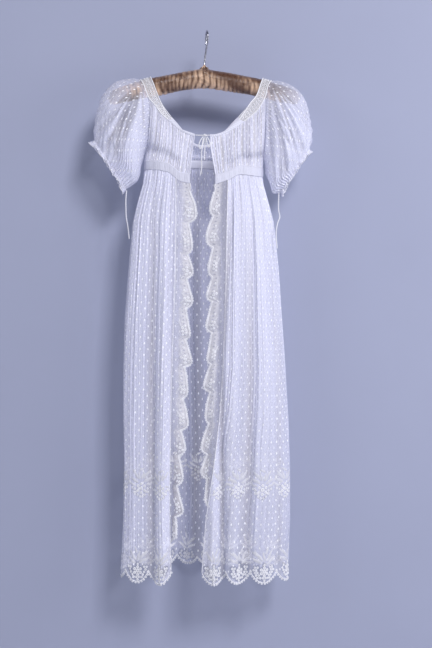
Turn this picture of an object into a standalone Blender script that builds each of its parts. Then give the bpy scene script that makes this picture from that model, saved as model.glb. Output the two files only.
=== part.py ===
"""A high-waisted dotted muslin open gown of about 1810, on its padded satin hanger.

The origin is the inside top of the hanger's hook, +Z is up and the gown faces -Y. Tables are in
millimetres. Left and right are those of a person facing the gown. Each cut and sewn piece is its
own closed solid, with a narrow seam gap to the next piece.
"""

import bpy
import bmesh
import numpy as np

MM = 0.001
CLOTH = 1.4          # wall of the cloth, mm
SEAM = 0.25          # what each piece gives up at a seam, mm
WAISTBAND = 19.5     # height of the waistband, mm
CORD = 1.0           # radius of the drawstrings, mm
WIRE = 1.8           # radius of the hook's wire, mm

# Gathers, each one ridge and one trough, counted over the piece.
SKIRT_FRONT_GATHERS = 12
SKIRT_BACK_GATHERS = 22
SLEEVE_GATHERS = 20
BODICE_FRONT_GATHERS = 10
BODICE_BACK_GATHERS = 16

# The pad: distance from its middle, drop of its centre line, half height, half depth.
PAD_MIDDLE = (-5.5, -96.0)
PAD = (
    (0.0, 0.0, 20.5, 19.0),
    (50.0, 8.0, 20.5, 19.0),
    (100.0, 17.5, 20.0, 18.5),
    (130.0, 24.5, 19.3, 18.0),
    (165.0, 33.5, 18.0, 17.0),
    (190.0, 40.5, 15.5, 15.0),
    (197.0, 42.5, 11.0, 11.0),
    (200.5, 43.5, 4.0, 4.0),
)

# The hook: across, forward, up.
HOOK = (
    (-5.0, 0.0, -74.6),
    (-4.0, 1.0, -58.0),
    (-1.0, -6.0, -38.0),
    (2.0, -15.0, -22.0),
    (2.5, -17.0, -10.0),
    (1.5, -11.0, -1.5),
    (0.0, 0.0, 1.8),
    (-1.0, 11.0, -1.5),
    (-1.5, 17.0, -12.0),
    (-1.5, 16.0, -24.0),
)

# Shoulder lace: the neck edge and the armhole edge from the lower front end up to the pad, and
# from the lower back end up to the pad. Columns: across, forward, up.
STRAP_LEFT = {
    "neck front": ((-70, -34.5, -190), (-80, -32, -180), (-90, -28, -162), (-99, -24, -141)),
    "arm front": ((-81, -34.3, -190), (-96, -32, -176), (-107, -29, -160), (-121, -25, -143)),
    "neck back": ((-75, 31, -172), (-89, 28, -154), (-101, 24, -133)),
    "arm back": ((-84, 32, -177), (-98, 31, -166), (-110, 28, -152), (-124, 25, -134)),
    "neck on pad": (-109, -117),
    "arm on pad": (-130, -139.5),
}
STRAP_RIGHT = {
    "neck front": ((66, -35, -190), (80, -31, -169), (90, -28, -154), (103, -24, -137)),
    "arm front": ((78, -35, -194), (91, -33, -184), (107, -30, -169), (122, -25, -143)),
    "neck back": ((66, 30, -173), (76, 28, -162), (93, 26, -144), (104, 24, -128)),
    "arm back": ((78, 31.4, -182), (92, 30, -174), (109, 28, -159), (124, 25, -134)),
    "neck on pad": (110, 117),
    "arm on pad": (127, 136),
}

# Neckline from the strap's lower end to the middle. Columns: across, forward, up.
NECK_LEFT = ((-70, -34.5, -190), (-55, -39.5, -208), (-40, -42.5, -215), (-24, -45, -221))
NECK_RIGHT = ((66, -35, -190), (53, -38.5, -202), (36, -42, -215), (18, -44.3, -221.5), (7, -45, -222))
NECK_BACK = (
    (-75, 31, -172), (-58, 34, -191), (-41, 36, -213), (-25, 37, -228), (-9, 37, -231),
    (7, 37, -228), (23, 36, -216), (41, 34, -198), (58, 31, -180), (66, 30, -173),
)
# The lower edge of the neck binding, which is the upper edge of the gathered bodice.
UNDER_LEFT = ((-81, -34.3, -190), (-69, -37.5, -201), (-58, -40, -211), (-42, -42.7, -220), (-24, -45.2, -227))
UNDER_RIGHT = ((78, -35, -194), (61, -39, -207), (41, -42, -219), (21, -44.3, -226.5), (7.5, -45.2, -227.5))
UNDER_BACK = (
    (-84, 32, -177), (-65, 34.3, -200), (-43, 36.3, -223), (-25, 37, -234), (-9, 37.2, -237),
    (7, 37, -235), (26, 36.2, -224), (45, 34.5, -208), (62, 32.5, -192), (78, 31.4, -182),
)

# Armhole below the strap, shoulder to underarm, and the two ends of the waist's top line.
ARM_LEFT = {
    "front": ((-121, -25, -143), (-118, -27, -168), (-119, -26, -199), (-121, -18, -229), (-126, 0, -247)),
    "back": ((-124, 25, -134), (-122, 27, -158), (-122, 26, -190), (-124, 18, -224), (-126, 0, -247)),
}
ARM_RIGHT = {
    "front": ((122, -25, -143), (122, -28, -179), (121, -26, -214), (120, -18, -244), (120, 0, -262)),
    "back": ((124, 25, -134), (124, 28, -169), (123, 26, -205), (122, 18, -238), (120, 0, -262)),
}
WAIST_LEFT = (
    (-131, 0, -270), (-123, -18, -272), (-101, -33, -275), (-80, -38, -280), (-65, -41, -291),
    (-55, -42.5, -299), (-34, -44.5, -304),
)
WAIST_RIGHT = (
    (118, 0, -285), (111, -18, -287), (90, -33, -286), (69, -38, -285), (59, -41, -289),
    (48, -42.5, -295), (18, -45, -306),
)
WAIST_BACK = (
    (-131, 0, -270), (-125, 18, -267), (-100, 32, -264), (-57, 40, -263), (-10, 43, -263),
    (39, 41, -266), (81, 34, -271), (113, 18, -282), (118, 0, -285),
)
EDGE_LEFT = ((-24, -45.2, -227), (-28, -46, -254), (-34, -44.5, -304))
EDGE_RIGHT = ((7.5, -45.2, -227.5), (9, -46, -254), (18, -45, -306))

# Skirt by height: up, left side, right side, lace seam and lace notches at left, then at right,
# depth of the front, depth of the back.
SKIRT = (
    (-320, -139, 122, -63, -36, 18, 44, 45, 43),
    (-398, -155, 139, -63, -35, 15, 42, 46, 43),
    (-501, -164, 150, -63, -38, 13, 40, 48, 44),
    (-604, -172, 157, -65, -39, 12, 38, 50, 45),
    (-708, -175, 164, -68, -42, 9, 34, 51, 46),
    (-811, -175, 170, -73, -50, 5, 31, 52, 47),
    (-914, -173, 174, -78, -60, 0, 27, 54, 48),
    (-1017, -175, 174, -85, -61, -1, 26, 56, 50),
    (-1122, -180, 170, -93, -68, -8, 20, 58, 52),
)
SECTION_POWER = 2.6
LACE_PITCH = 60.5
LACE_LOBE = 11.5
LACE_FIRST_NOTCH = {"left": -341.0, "right": -330.0}
# Hem: height at the notches, drop of each scallop, and where the notches lie across.
HEM_FRONT = (-1119.0, 24.0, (-215, -167, -120, -71, -41, -12, 5, 42, 90, 145, 190))
HEM_BACK = (-1107.0, 17.0, (-196, -152, -108, -64, -21, 24, 68, 112, 156, 200))

# Long folds: place across at the waist, half way down and at the hem, half width, then how far the
# cloth stands out half way down and at the hem (a trough is negative).
FOLDS_FRONT = (
    (-132, -152, -160, 13, 3, 6),
    (-106, -114, -112, 10, -7, -9),
    (-88, -86, -93, 13, 8, 11),
    (-66, -65, -75, 7, -4, -6),
    (-48, -50, -70, 9, 2, 4),
    (22, 17, 13, 11, 6, 9),
    (54, 28, 26, 8, -7, -10),
    (72, 54, 50, 13, 5, 8),
    (92, 90, 81, 10, -5, -9),
    (108, 122, 118, 15, 6, 9),
    (114, 148, 150, 9, -3, -5),
)
FOLDS_BACK = (
    (-108, -132, -140, 15, 6, 9),
    (-84, -96, -104, 10, -6, -9),
    (-52, -58, -62, 15, 7, 11),
    (-22, -20, -24, 11, -6, -9),
    (10, 16, 12, 16, 7, 11),
    (42, 52, 52, 11, -6, -9),
    (72, 90, 94, 15, 7, 10),
    (98, 128, 136, 12, -5, -8),
)

# Sleeve rings beyond the armhole: upper point across and up, lower point across and up, half
# depth, and how far its gathers stand out.
SLEEVE_LEFT = (
    (-161, -99, -134, -257, 42, 1.7),
    (-193, -107, -138, -270, 51, 1.2),
    (-218, -133, -142, -284, 53, 1.0),
    (-231, -172, -146, -299, 47, 1.2),
    (-237, -203, -151, -314, 36, 1.8),
    (-237, -226, -168, -330, 26, 2.2),
    (-245, -235, -175, -341, 31, 2.4),
)
SLEEVE_RIGHT = (
    (160, -106, 125, -271, 42, 1.7),
    (188, -120, 128, -287, 51, 1.2),
    (208, -147, 132, -304, 53, 1.0),
    (217, -187, 135, -322, 47, 1.2),
    (220, -216, 139, -336, 36, 1.8),
    (217, -243, 154, -337, 26, 2.2),
    (221, -252, 160, -345, 30, 2.4),
)

# Drawstrings: across, forward, up.
TIE_LEFT = (
    (-167.8, -3.2, -332.5), (-169, -10, -352), (-168.5, -15, -369), (-167.5, -18, -390),
    (-164, -20, -411), (-161, -21, -436),
)
TIE_RIGHT = (
    (151.2, -4.7, -336.8), (150, -17, -373), (152, -25, -390), (147, -31, -405),
    (144, -34, -426), (146, -37, -457),
)
NECK_STRING = ((-23.5, -45.4, -223.5), (-14, -47, -224.3), (-3, -47.6, -224.5), (6.6, -45.4, -224))
BOW_KNOT = (-3.0, -51.8, -225.2)
BOW_LOOP_LEFT = (
    (-6.4, -52.3, -227.2), (-12.5, -54, -236), (-15.8, -55, -247), (-12.5, -55, -253),
    (-9.4, -54.5, -247), (-7.4, -54, -236), (-5.2, -54, -229.8),
)
BOW_LOOP_RIGHT = (
    (0.4, -52.3, -227.2), (5, -54, -235), (7.5, -55, -244), (4.5, -55, -249.5),
    (1.6, -54.5, -244), (0, -54, -235), (-1.0, -54, -229.8),
)
BOW_END_LEFT = (
    (-4.3, -51.0, -228.9), (-7.5, -50.2, -244), (-10, -50.4, -260), (-10, -50.4, -290), (-13, -50.8, -308),
)
BOW_END_RIGHT = ((-1.8, -51.0, -228.9), (-3.2, -50.4, -244), (-3.8, -50.4, -258), (-4.4, -50.6, -276))


def curve(rows, count):
    """A smooth line through the rows, as points an equal distance apart."""
    p = np.array(rows, float)
    ends = np.vstack([2 * p[0] - p[1], p, 2 * p[-1] - p[-2]])
    t = np.linspace(0, 1, 24, endpoint=False)[:, None]
    parts = []
    for a, b, c, d in zip(ends[:-3], ends[1:-2], ends[2:-1], ends[3:]):
        parts.append(0.5 * (2 * b + (c - a) * t + (2 * a - 5 * b + 4 * c - d) * t**2
                            + (3 * b - a - 3 * c + d) * t**3))
    return spaced(np.vstack(parts + [p[-1:]]), count)


def spaced(line, count):
    """The same line as count points an equal distance apart."""
    run = np.r_[0, np.cumsum(np.linalg.norm(np.diff(line, axis=0), axis=1))]
    at = np.linspace(0, run[-1], count)
    return np.column_stack([np.interp(at, run, line[:, k]) for k in range(3)])


def patch(top, bottom, left, right):
    """A four-sided surface filled in between its edges, with rows from top to bottom."""
    u = np.linspace(0, 1, len(top))[None, :, None]
    v = np.linspace(0, 1, len(left))[:, None, None]
    rows = left[:, None] * (1 - u) + right[:, None] * u
    columns = top[None] * (1 - v) + bottom[None] * v
    corners = ((1 - u) * (1 - v) * top[0] + u * (1 - v) * top[-1]
               + (1 - u) * v * bottom[0] + u * v * bottom[-1])
    return rows + columns - corners


def inset(grid, top=SEAM, bottom=SEAM, left=SEAM, right=SEAM):
    """The grid with its four edges drawn in by the seam gap."""
    g = grid.copy()

    def pull(edge, inner, distance):
        way = inner - edge
        return edge + way * (distance / np.linalg.norm(way, axis=-1, keepdims=True))

    g[0] = pull(g[0], g[1], top)
    g[-1] = pull(g[-1], g[-2], bottom)
    g[:, 0] = pull(g[:, 0], g[:, 1], left)
    g[:, -1] = pull(g[:, -1], g[:, -2], right)
    return g


def normals(grid, ring):
    """Unit normals of the grid, whose columns close up when it is a ring."""
    if ring:
        wide = np.concatenate([grid[:, -1:], grid, grid[:, :1]], axis=1)
        across = np.gradient(wide, axis=1)[:, 1:-1]
    else:
        across = np.gradient(grid, axis=1)
    n = np.cross(np.gradient(grid, axis=0), across)
    return n / np.linalg.norm(n, axis=2, keepdims=True)


def material(name, colour, roughness, metallic=0.0):
    made = bpy.data.materials.new(name)
    made.use_nodes = True
    shader = made.node_tree.nodes["Principled BSDF"]
    shader.inputs["Base Color"].default_value = (*colour, 1)
    shader.inputs["Roughness"].default_value = roughness
    shader.inputs["Metallic"].default_value = metallic
    made.diffuse_color = (*colour, 1)
    return made


def finish(name, mesh, made):
    obj = bpy.data.objects.new(name, mesh)
    mesh.materials.append(made)
    bpy.context.scene.collection.objects.link(obj)
    return obj


def cloth(name, grid, made, gather=0.0, ring=False, holes=(), wall=CLOTH, flip=1.0):
    """A sheet of the given wall over the grid; gather is how far each point stands off it."""
    rows, columns = grid.shape[:2]
    n = normals(grid, ring) * flip
    middle = grid + n * np.asarray(gather, float).reshape(-1, 1, 1) if np.ndim(gather) == 1 else grid
    if np.ndim(gather) == 2:
        middle = grid + n * gather[:, :, None]
    points = np.concatenate([(middle + n * wall / 2).reshape(-1, 3), (middle - n * wall / 2).reshape(-1, 3)])
    half = rows * columns
    cells = columns if ring else columns - 1
    shut = set(holes)
    kept = [(r, c) for r in range(rows - 1) for c in range(cells) if (r, c) not in shut]
    edges = {}
    faces = []
    for r, c in kept:
        d = (c + 1) % columns
        corner = (r * columns + c, r * columns + d, (r + 1) * columns + d, (r + 1) * columns + c)
        faces.append(corner)
        faces.append(tuple(half + k for k in reversed(corner)))
        for a, b in zip(corner, corner[1:] + corner[:1]):
            if (b, a) in edges:
                del edges[(b, a)]
            else:
                edges[(a, b)] = True
    for a, b in edges:
        faces.append((b, a, half + a, half + b))
    used = sorted({k for face in faces for k in face})
    place = {k: i for i, k in enumerate(used)}
    mesh = bpy.data.meshes.new(name)
    mesh.from_pydata((points[used] * MM).tolist(), [], [tuple(place[k] for k in face) for face in faces])
    shape = bmesh.new()
    shape.from_mesh(mesh)
    bmesh.ops.triangulate(shape, faces=shape.faces)
    bmesh.ops.recalc_face_normals(shape, faces=shape.faces)
    if shape.calc_volume(signed=True) < 0:
        bmesh.ops.reverse_faces(shape, faces=shape.faces)
    shape.to_mesh(mesh)
    shape.free()
    return finish(name, mesh, made)


def zigzag(rows, columns, amount, ring=False):
    """Ridge and trough on alternate columns, uneven in size, none at a sheet's two side edges."""
    c = np.arange(columns)
    wave = np.where(c % 2 == 0, 1.0, -1.0) * (0.8 + 0.2 * np.sin(2.4 * c))
    if not ring:
        wave[[0, -1]] = 0
    return np.asarray(amount, float).reshape(rows, -1) * wave


def pad_at(across):
    """Centre height, half height and half depth of the pad at a place across."""
    away = abs(across - PAD_MIDDLE[0])
    table = np.array(PAD)
    drop, tall, deep = (np.interp(away, table[:, 0], table[:, k]) for k in (1, 2, 3))
    return PAD_MIDDLE[1] - drop, tall, deep


def over_pad(front_across, top_across, lift):
    """The line of a strap's edge over the pad, front to back, lift mm off the pad."""
    rows = []
    for angle in (10, 30, 50, 70, 90, 110, 130, 150, 170):
        a = np.radians(angle)
        across = front_across + (top_across - front_across) * np.sin(a)
        centre, tall, deep = pad_at(across)
        rows.append((across, -(deep + lift) * np.cos(a), centre + (tall + lift) * np.sin(a)))
    return tuple(rows)


def strap_edge(strap, edge):
    """One whole edge of the shoulder lace, from its lower front end to its lower back end."""
    front = strap[edge + " front"]
    back = strap[edge + " back"]
    return front + over_pad(*strap[edge + " on pad"], CLOTH / 2 + 0.8) + back[::-1]


def make_pad(made):
    table = np.array(PAD)
    away = np.r_[np.linspace(0, 190, 9), 194, 197, 199.3, 200.5]
    rows = np.r_[-away[:0:-1], away]
    grid = []
    for s in rows:
        drop, tall, deep = (np.interp(abs(s), table[:, 0], table[:, k]) for k in (1, 2, 3))
        a = np.linspace(0, 2 * np.pi, 12, endpoint=False)
        grid.append(np.column_stack([
            np.full(12, PAD_MIDDLE[0] + s), -deep * np.cos(a), PAD_MIDDLE[1] - drop + tall * np.sin(a)]))
    mesh = bpy.data.meshes.new("hanger_pad")
    points = np.vstack(grid) * MM
    faces = []
    for r in range(len(rows) - 1):
        for c in range(12):
            d = (c + 1) % 12
            faces.append((r * 12 + c, r * 12 + d, (r + 1) * 12 + d, (r + 1) * 12 + c))
    faces.append(tuple(range(12))[::-1])
    faces.append(tuple((len(rows) - 1) * 12 + k for k in range(12)))
    mesh.from_pydata(points.tolist(), [], faces)
    shape = bmesh.new()
    shape.from_mesh(mesh)
    bmesh.ops.recalc_face_normals(shape, faces=shape.faces)
    if shape.calc_volume(signed=True) < 0:
        bmesh.ops.reverse_faces(shape, faces=shape.faces)
    shape.to_mesh(mesh)
    shape.free()
    return finish("hanger_pad", mesh, made)


def cord(name, rows, radius, count, made):
    """A round cord along a smooth line through the rows."""
    data = bpy.data.curves.new(name, "CURVE")
    data.dimensions = "3D"
    data.bevel_depth = radius * MM
    data.bevel_resolution = 2
    data.use_fill_caps = True
    data.render_resolution_u = 0
    points = curve(rows, count) * MM
    spline = data.splines.new("POLY")
    spline.points.add(count - 1)
    for point, place in zip(spline.points, points):
        point.co = (*place, 1)
    return finish(name, data, made)


def skirt_size(height, column):
    table = np.array(SKIRT, float)[::-1]
    return np.interp(height, table[:, 0], table[:, column])


def fold_out(across, height, folds):
    """How far the long folds stand out at a place."""
    total = 0.0
    for waist, middle, hem, width, out_middle, out_hem in folds:
        place = np.interp(height, (-1120, -700, -320), (hem, middle, waist))
        out = np.interp(height, (-1120, -650, -440, -325), (out_hem, out_middle, 0.5 * out_middle, 0))
        total += out * np.exp(-((across - place) / width) ** 2)
    return total


def on_skirt(height, start, stop, part, back):
    """The point a given part of the way from start to stop along the skirt's section."""
    left, right = skirt_size(height, 1), skirt_size(height, 2)
    middle, half = (left + right) / 2, (right - left) / 2
    depth = skirt_size(height, 8 if back else 7)
    s = -np.cos(np.linspace(0, np.pi, 161))
    low, high = sorted(((start - middle) / half, (stop - middle) / half))
    s = np.unique(np.clip(np.r_[s, low, high], low, high))
    across = middle + half * s
    shape = (1 - np.minimum(np.abs(s), 1) ** SECTION_POWER) ** (1 / SECTION_POWER)
    folds = FOLDS_BACK if back else FOLDS_FRONT
    out = (depth + fold_out(across, height, folds)) * shape
    line = np.column_stack([across, out if back else -out, np.full(len(s), height)])
    if start > stop:
        line = line[::-1]
    run = np.r_[0, np.cumsum(np.linalg.norm(np.diff(line, axis=0), axis=1))]
    return np.array([np.interp(part * run[-1], run, line[:, k]) for k in range(3)])


def hem_height(across, hem):
    """Height of the scalloped hem at a place across."""
    level, drop, notches = hem
    count = np.interp(across, notches, np.arange(len(notches)))
    return level - drop * np.abs(np.sin(np.pi * count)) ** 0.8


def lowered(line, drop):
    return line - np.array([0, 0, drop])


def skirt_panel(name, waist, columns, start, stop, hem, back, made, amount):
    """One skirt panel, hung from its part of the waistband's lower edge."""
    top = spaced(waist, columns)
    part = np.linspace(0, 1, columns)
    down = np.array([0, 0.03, 0.08, 0.16, 0.28, 0.42, 0.56, 0.7, 0.84, 0.95, 1.0])
    low = hem[0]
    hem_line = [hem_height(on_skirt(low, start(low), stop(low), k, back)[0], hem) for k in part]
    grid = np.zeros((len(down), columns, 3))
    for c in range(columns):
        first = on_skirt(top[c, 2], start(top[c, 2]), stop(top[c, 2]), part[c], back)
        for r, d in enumerate(down):
            height = top[c, 2] * (1 - d) + hem_line[c] * d
            spot = on_skirt(height, start(height), stop(height), part[c], back)
            grid[r, c] = spot + (top[c] - first) * max(0.0, 1 - d / 0.16) ** 2
    size = amount * np.exp(-down / 0.11) + 0.25 * (down < 0.9)
    seam = 0.25 if back else 0.45
    cloth(name, inset(grid, top=0.5, bottom=0, right=seam), made, zigzag(len(down), columns, size))
    return grid[:, -1]


def split_waist(waist, seam):
    """The waistband's lower edge, cut where the lace seam meets it."""
    line = lowered(curve(waist, 200), WAISTBAND)
    k = int(np.argmin(np.abs(line[:, 0] - seam)))
    return line[: k + 1], line[k:]


def front_lace(name, waist, panel, notch, side, made):
    """The scalloped lace down one front edge: lobes that widen slowly downwards, then step back."""
    rows = 56
    grid = np.zeros((rows, 4, 3))
    top = spaced(waist, 4)
    low = HEM_FRONT[0]
    way = 1.0 if side == "left" else -1.0
    fall = np.linspace(0, 1, rows)
    height = panel[0, 2] * (1 - fall) + panel[-1, 2] * fall
    seam = np.column_stack([np.interp(-height, -panel[:, 2], panel[:, k]) for k in range(3)])
    for c, part in enumerate((0.0, 0.33, 0.67, 1.0)):
        bottom = hem_height(panel[-1, 0] * (1 - part) + skirt_size(low, notch) * part, HEM_FRONT)
        for r, d in enumerate(fall):
            height = top[c, 2] * (1 - d) + bottom * d
            phase = ((LACE_FIRST_NOTCH[side] - height) / LACE_PITCH) % 1
            lobe = LACE_LOBE * np.sin(np.pi * phase**1.5) * min(1.0, d / 0.05)
            edge = skirt_size(height, notch) + way * lobe
            spot = on_skirt(height, seam[r, 0], edge, part, False)
            first = on_skirt(top[c, 2], seam[0, 0], skirt_size(top[c, 2], notch), part, False)
            grid[r, c] = spot + (top[c] - first) * max(0.0, 1 - d / 0.16) ** 2
    grid[:, 0] = seam
    return cloth(name, inset(grid, top=1.5, bottom=0, left=0.9, right=0), made)


def bodice_panel(name, top, bottom, left, right, gathers, made, side_in):
    columns = 2 * gathers + 1
    rows = 5
    grid = patch(curve(top, columns), curve(bottom, columns), curve(left, rows), curve(right, rows))
    size = np.array([1.5, 1.2, 1.0, 1.2, 1.5])[:, None] * np.ones(columns)
    size = zigzag(rows, columns, size)
    grid = inset(grid, top=0.95, bottom=0.5, left=side_in[0], right=side_in[1])
    return cloth(name, grid, made, size)


def band(name, upper, lower, columns, made, ends=(SEAM, SEAM)):
    """A flat band between two edges."""
    top, bottom = spaced(upper, columns), spaced(lower, columns)
    return cloth(name, inset(np.stack([top, (top + bottom) / 2, bottom]), left=ends[0], right=ends[1]), made)


def shoulder_lace(name, strap, made):
    """Insertion lace over the pad, with two staggered lines of eyelets cut through."""
    rows = 31
    neck, arm = curve(strap_edge(strap, "neck"), rows), curve(strap_edge(strap, "arm"), rows)
    across = np.array([0, 0.14, 0.38, 0.62, 0.86, 1.0])[None, :, None]
    grid = neck[:, None] * (1 - across) + arm[:, None] * across
    holes = [(r, 1 if r % 2 else 3) for r in range(3, rows - 4)]
    return cloth(name, inset(grid, right=0.5), made, holes=holes)


def armhole(strap, arm, count):
    """The whole armhole as a ring: shoulder top, front, underarm, back."""
    edge = strap_edge(strap, "arm")
    front = len(strap["arm front"])
    top = front + 4
    line = (edge[top:front - 1:-1] + strap["arm front"][:-4:-1][:1] + arm["front"][1:]
            + arm["back"][-2::-1] + edge[-len(strap["arm back"]) - 1:top - 1:-1])
    return curve(line, count + 1)[:-1]


def sleeve(name, strap, arm, rings, made, side):
    """A puffed sleeve: gathered into the armhole and again at its drawstring, with a small frill."""
    columns = 2 * SLEEVE_GATHERS
    start = armhole(strap, arm, columns) + np.array([side * 1.2, 0, 0])
    grid = [start]
    a = np.linspace(0, 2 * np.pi, 241)
    for top_x, top_z, low_x, low_z, deep, _ in rings:
        centre = np.array([(top_x + low_x) / 2, 0, (top_z + low_z) / 2])
        up = np.array([(top_x - low_x) / 2, 0, (top_z - low_z) / 2])
        line = centre + np.cos(a)[:, None] * up + np.sin(a)[:, None] * np.array([0, -deep, 0])
        grid.append(spaced(line, columns + 1)[:-1])
    grid = np.stack(grid)
    c = np.arange(columns)
    size = np.array([1.5] + [row[5] for row in rings])
    wave = zigzag(len(grid), columns, size[:, None] * np.ones(columns), ring=True)
    on_top = np.clip((start[:, 2] + 160) / 25, 0, 1)
    wave[0] = on_top * (np.abs(wave[0]) + wave[0] + 1.2) - (1 - on_top) * (np.abs(wave[0]) - wave[0]) / 2
    return cloth(name, grid, made, wave, ring=True, flip=-float(side))


def knot(name, place, radius, made):
    mesh = bpy.data.meshes.new(name)
    shape = bmesh.new()
    bmesh.ops.create_uvsphere(shape, u_segments=10, v_segments=6, radius=1.0)
    bmesh.ops.scale(shape, vec=[k * MM for k in radius], verts=shape.verts)
    bmesh.ops.translate(shape, vec=[k * MM for k in place], verts=shape.verts)
    shape.to_mesh(mesh)
    shape.free()
    return finish(name, mesh, made)


for old in list(bpy.data.objects):
    bpy.data.objects.remove(old, do_unlink=True)

muslin = material("dotted_muslin", (0.82, 0.83, 0.88), 0.85)
lace = material("cotton_lace", (0.86, 0.84, 0.82), 0.85)
tape = material("cotton_tape", (0.88, 0.88, 0.9), 0.8)
satin = material("golden_satin", (0.45, 0.29, 0.13), 0.4)
steel = material("polished_steel", (0.75, 0.75, 0.77), 0.2, 1.0)

make_pad(satin)
cord("hanger_hook", HOOK, WIRE, 30, steel)

shoulder_lace("shoulder_lace_left", STRAP_LEFT, lace)
shoulder_lace("shoulder_lace_right", STRAP_RIGHT, lace)

under_left, under_right, under_back = curve(UNDER_LEFT, 60), curve(UNDER_RIGHT, 60), curve(UNDER_BACK, 90)
band("neck_binding_left", curve(NECK_LEFT, 60), under_left, 11, tape, (0.6, 0.0))
band("neck_binding_right", curve(NECK_RIGHT, 60), under_right, 11, tape, (0.6, 0.0))
band("neck_binding_back", curve(NECK_BACK, 90), under_back, 25, tape, (0.6, 0.6))


def neck_to_arm(strap, where, under):
    """The bodice's upper edge, from the armhole along the strap and then under the binding."""
    return strap["arm " + where][:0:-1] + under


side_left = (ARM_LEFT["front"][-1], WAIST_LEFT[0])
side_right = (ARM_RIGHT["front"][-1], WAIST_RIGHT[0])
bodice_panel("bodice_front_left", neck_to_arm(STRAP_LEFT, "front", UNDER_LEFT), WAIST_LEFT,
             ARM_LEFT["front"] + side_left[1:], EDGE_LEFT, BODICE_FRONT_GATHERS, muslin, (SEAM, 0))
bodice_panel("bodice_front_right", neck_to_arm(STRAP_RIGHT, "front", UNDER_RIGHT), WAIST_RIGHT,
             ARM_RIGHT["front"] + side_right[1:], EDGE_RIGHT, BODICE_FRONT_GATHERS, muslin, (SEAM, 0))
bodice_panel("bodice_back", neck_to_arm(STRAP_LEFT, "back", UNDER_BACK) + STRAP_RIGHT["arm back"][1:], WAIST_BACK,
             ARM_LEFT["back"] + side_left[1:], ARM_RIGHT["back"] + side_right[1:],
             BODICE_BACK_GATHERS, muslin, (SEAM, SEAM))

for name, line, ends in (("left", WAIST_LEFT, (SEAM, 0)), ("right", WAIST_RIGHT, (SEAM, 0))):
    edge = curve(line, 120)
    band("waistband_front_" + name, edge, lowered(edge, WAISTBAND), 20, tape, ends)
edge = curve(WAIST_BACK, 200)
band("waistband_back", edge, lowered(edge, WAISTBAND), 31, tape)


def left_side(height):
    return skirt_size(height, 1)


def right_side(height):
    return skirt_size(height, 2)


def left_seam(height):
    return skirt_size(height, 3)


def right_seam(height):
    return skirt_size(height, 6)


columns = 2 * SKIRT_FRONT_GATHERS + 1
panel_left, lace_left = split_waist(WAIST_LEFT, -63)
panel_right, lace_right = split_waist(WAIST_RIGHT, 44)
seam_left = skirt_panel("skirt_front_left", panel_left, columns, left_side, left_seam, HEM_FRONT, False, muslin, 1.7)
seam_right = skirt_panel("skirt_front_right", panel_right, columns, right_side, right_seam, HEM_FRONT, False, muslin, 1.7)
skirt_panel("skirt_back", lowered(curve(WAIST_BACK, 200), WAISTBAND), 2 * SKIRT_BACK_GATHERS + 1,
            left_side, right_side, HEM_BACK, True, muslin, 1.7)
front_lace("front_lace_left", lace_left, seam_left, 4, "left", lace)
front_lace("front_lace_right", lace_right, seam_right, 5, "right", lace)

sleeve("sleeve_left", STRAP_LEFT, ARM_LEFT, SLEEVE_LEFT, muslin, -1)
sleeve("sleeve_right", STRAP_RIGHT, ARM_RIGHT, SLEEVE_RIGHT, muslin, 1)

cord("sleeve_tie_left", TIE_LEFT, CORD, 22, tape)
cord("sleeve_tie_right", TIE_RIGHT, CORD, 24, tape)
cord("neck_string", NECK_STRING, CORD, 7, tape)
knot("bow_knot", BOW_KNOT, (3.4, 3.0, 3.0), tape)
cord("bow_loop_left", BOW_LOOP_LEFT, CORD, 18, tape)
cord("bow_loop_right", BOW_LOOP_RIGHT, CORD, 16, tape)
cord("bow_end_left", BOW_END_LEFT, CORD, 20, tape)
cord("bow_end_right", BOW_END_RIGHT, CORD, 13, tape)
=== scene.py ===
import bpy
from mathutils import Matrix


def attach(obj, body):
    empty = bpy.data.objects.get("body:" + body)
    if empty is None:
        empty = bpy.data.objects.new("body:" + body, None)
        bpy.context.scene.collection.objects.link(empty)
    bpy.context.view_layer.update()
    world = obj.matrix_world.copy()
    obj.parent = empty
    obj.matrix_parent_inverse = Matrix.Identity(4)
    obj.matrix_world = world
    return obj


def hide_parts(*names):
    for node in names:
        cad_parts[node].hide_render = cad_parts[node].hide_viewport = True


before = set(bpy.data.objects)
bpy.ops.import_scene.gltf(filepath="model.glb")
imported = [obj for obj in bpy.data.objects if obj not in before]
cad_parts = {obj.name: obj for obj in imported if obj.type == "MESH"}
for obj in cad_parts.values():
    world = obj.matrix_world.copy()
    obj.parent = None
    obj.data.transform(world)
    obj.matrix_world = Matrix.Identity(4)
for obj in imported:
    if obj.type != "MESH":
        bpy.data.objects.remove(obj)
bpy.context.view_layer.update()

from types import SimpleNamespace
import bpy
import numpy as np
from mathutils import Matrix

# ---- Camera ----
# A level view of the whole gown from 2.4 m in front of its hanger.
lens = bpy.data.cameras.new("eye")
lens.lens, lens.sensor_width = 63.5, 36.0
eye = bpy.data.objects.new("eye", lens)
eye.location = (0.0195, -2.4, -0.6128)
eye.rotation_euler = (np.pi / 2, 0, 0)
bpy.context.scene.collection.objects.link(eye)
bpy.context.scene.camera = eye
bpy.context.scene.view_settings.view_transform = "Standard"
bpy.context.scene.cycles.transparent_max_bounces = 24


# ---- Drawstrings ----
# Two-ply cotton cord about 2 mm thick: one hangs from each cuff, and the one in the neck casing
# crosses the open front and is tied in a bow with long narrow loops. Twisted, limp and bare-ended.
TAU = 2 * np.pi


class Signal:
    """A socket that works in sums like a number: each sign adds one Math node."""

    def __init__(self, socket):
        self.socket = socket

    def maths(self, how, *terms):
        node = self.socket.id_data.nodes.new("ShaderNodeMath")
        node.operation = how
        for slot, term in zip(node.inputs, terms):
            plug(term, slot)
        return Signal(node.outputs[0])


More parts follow.
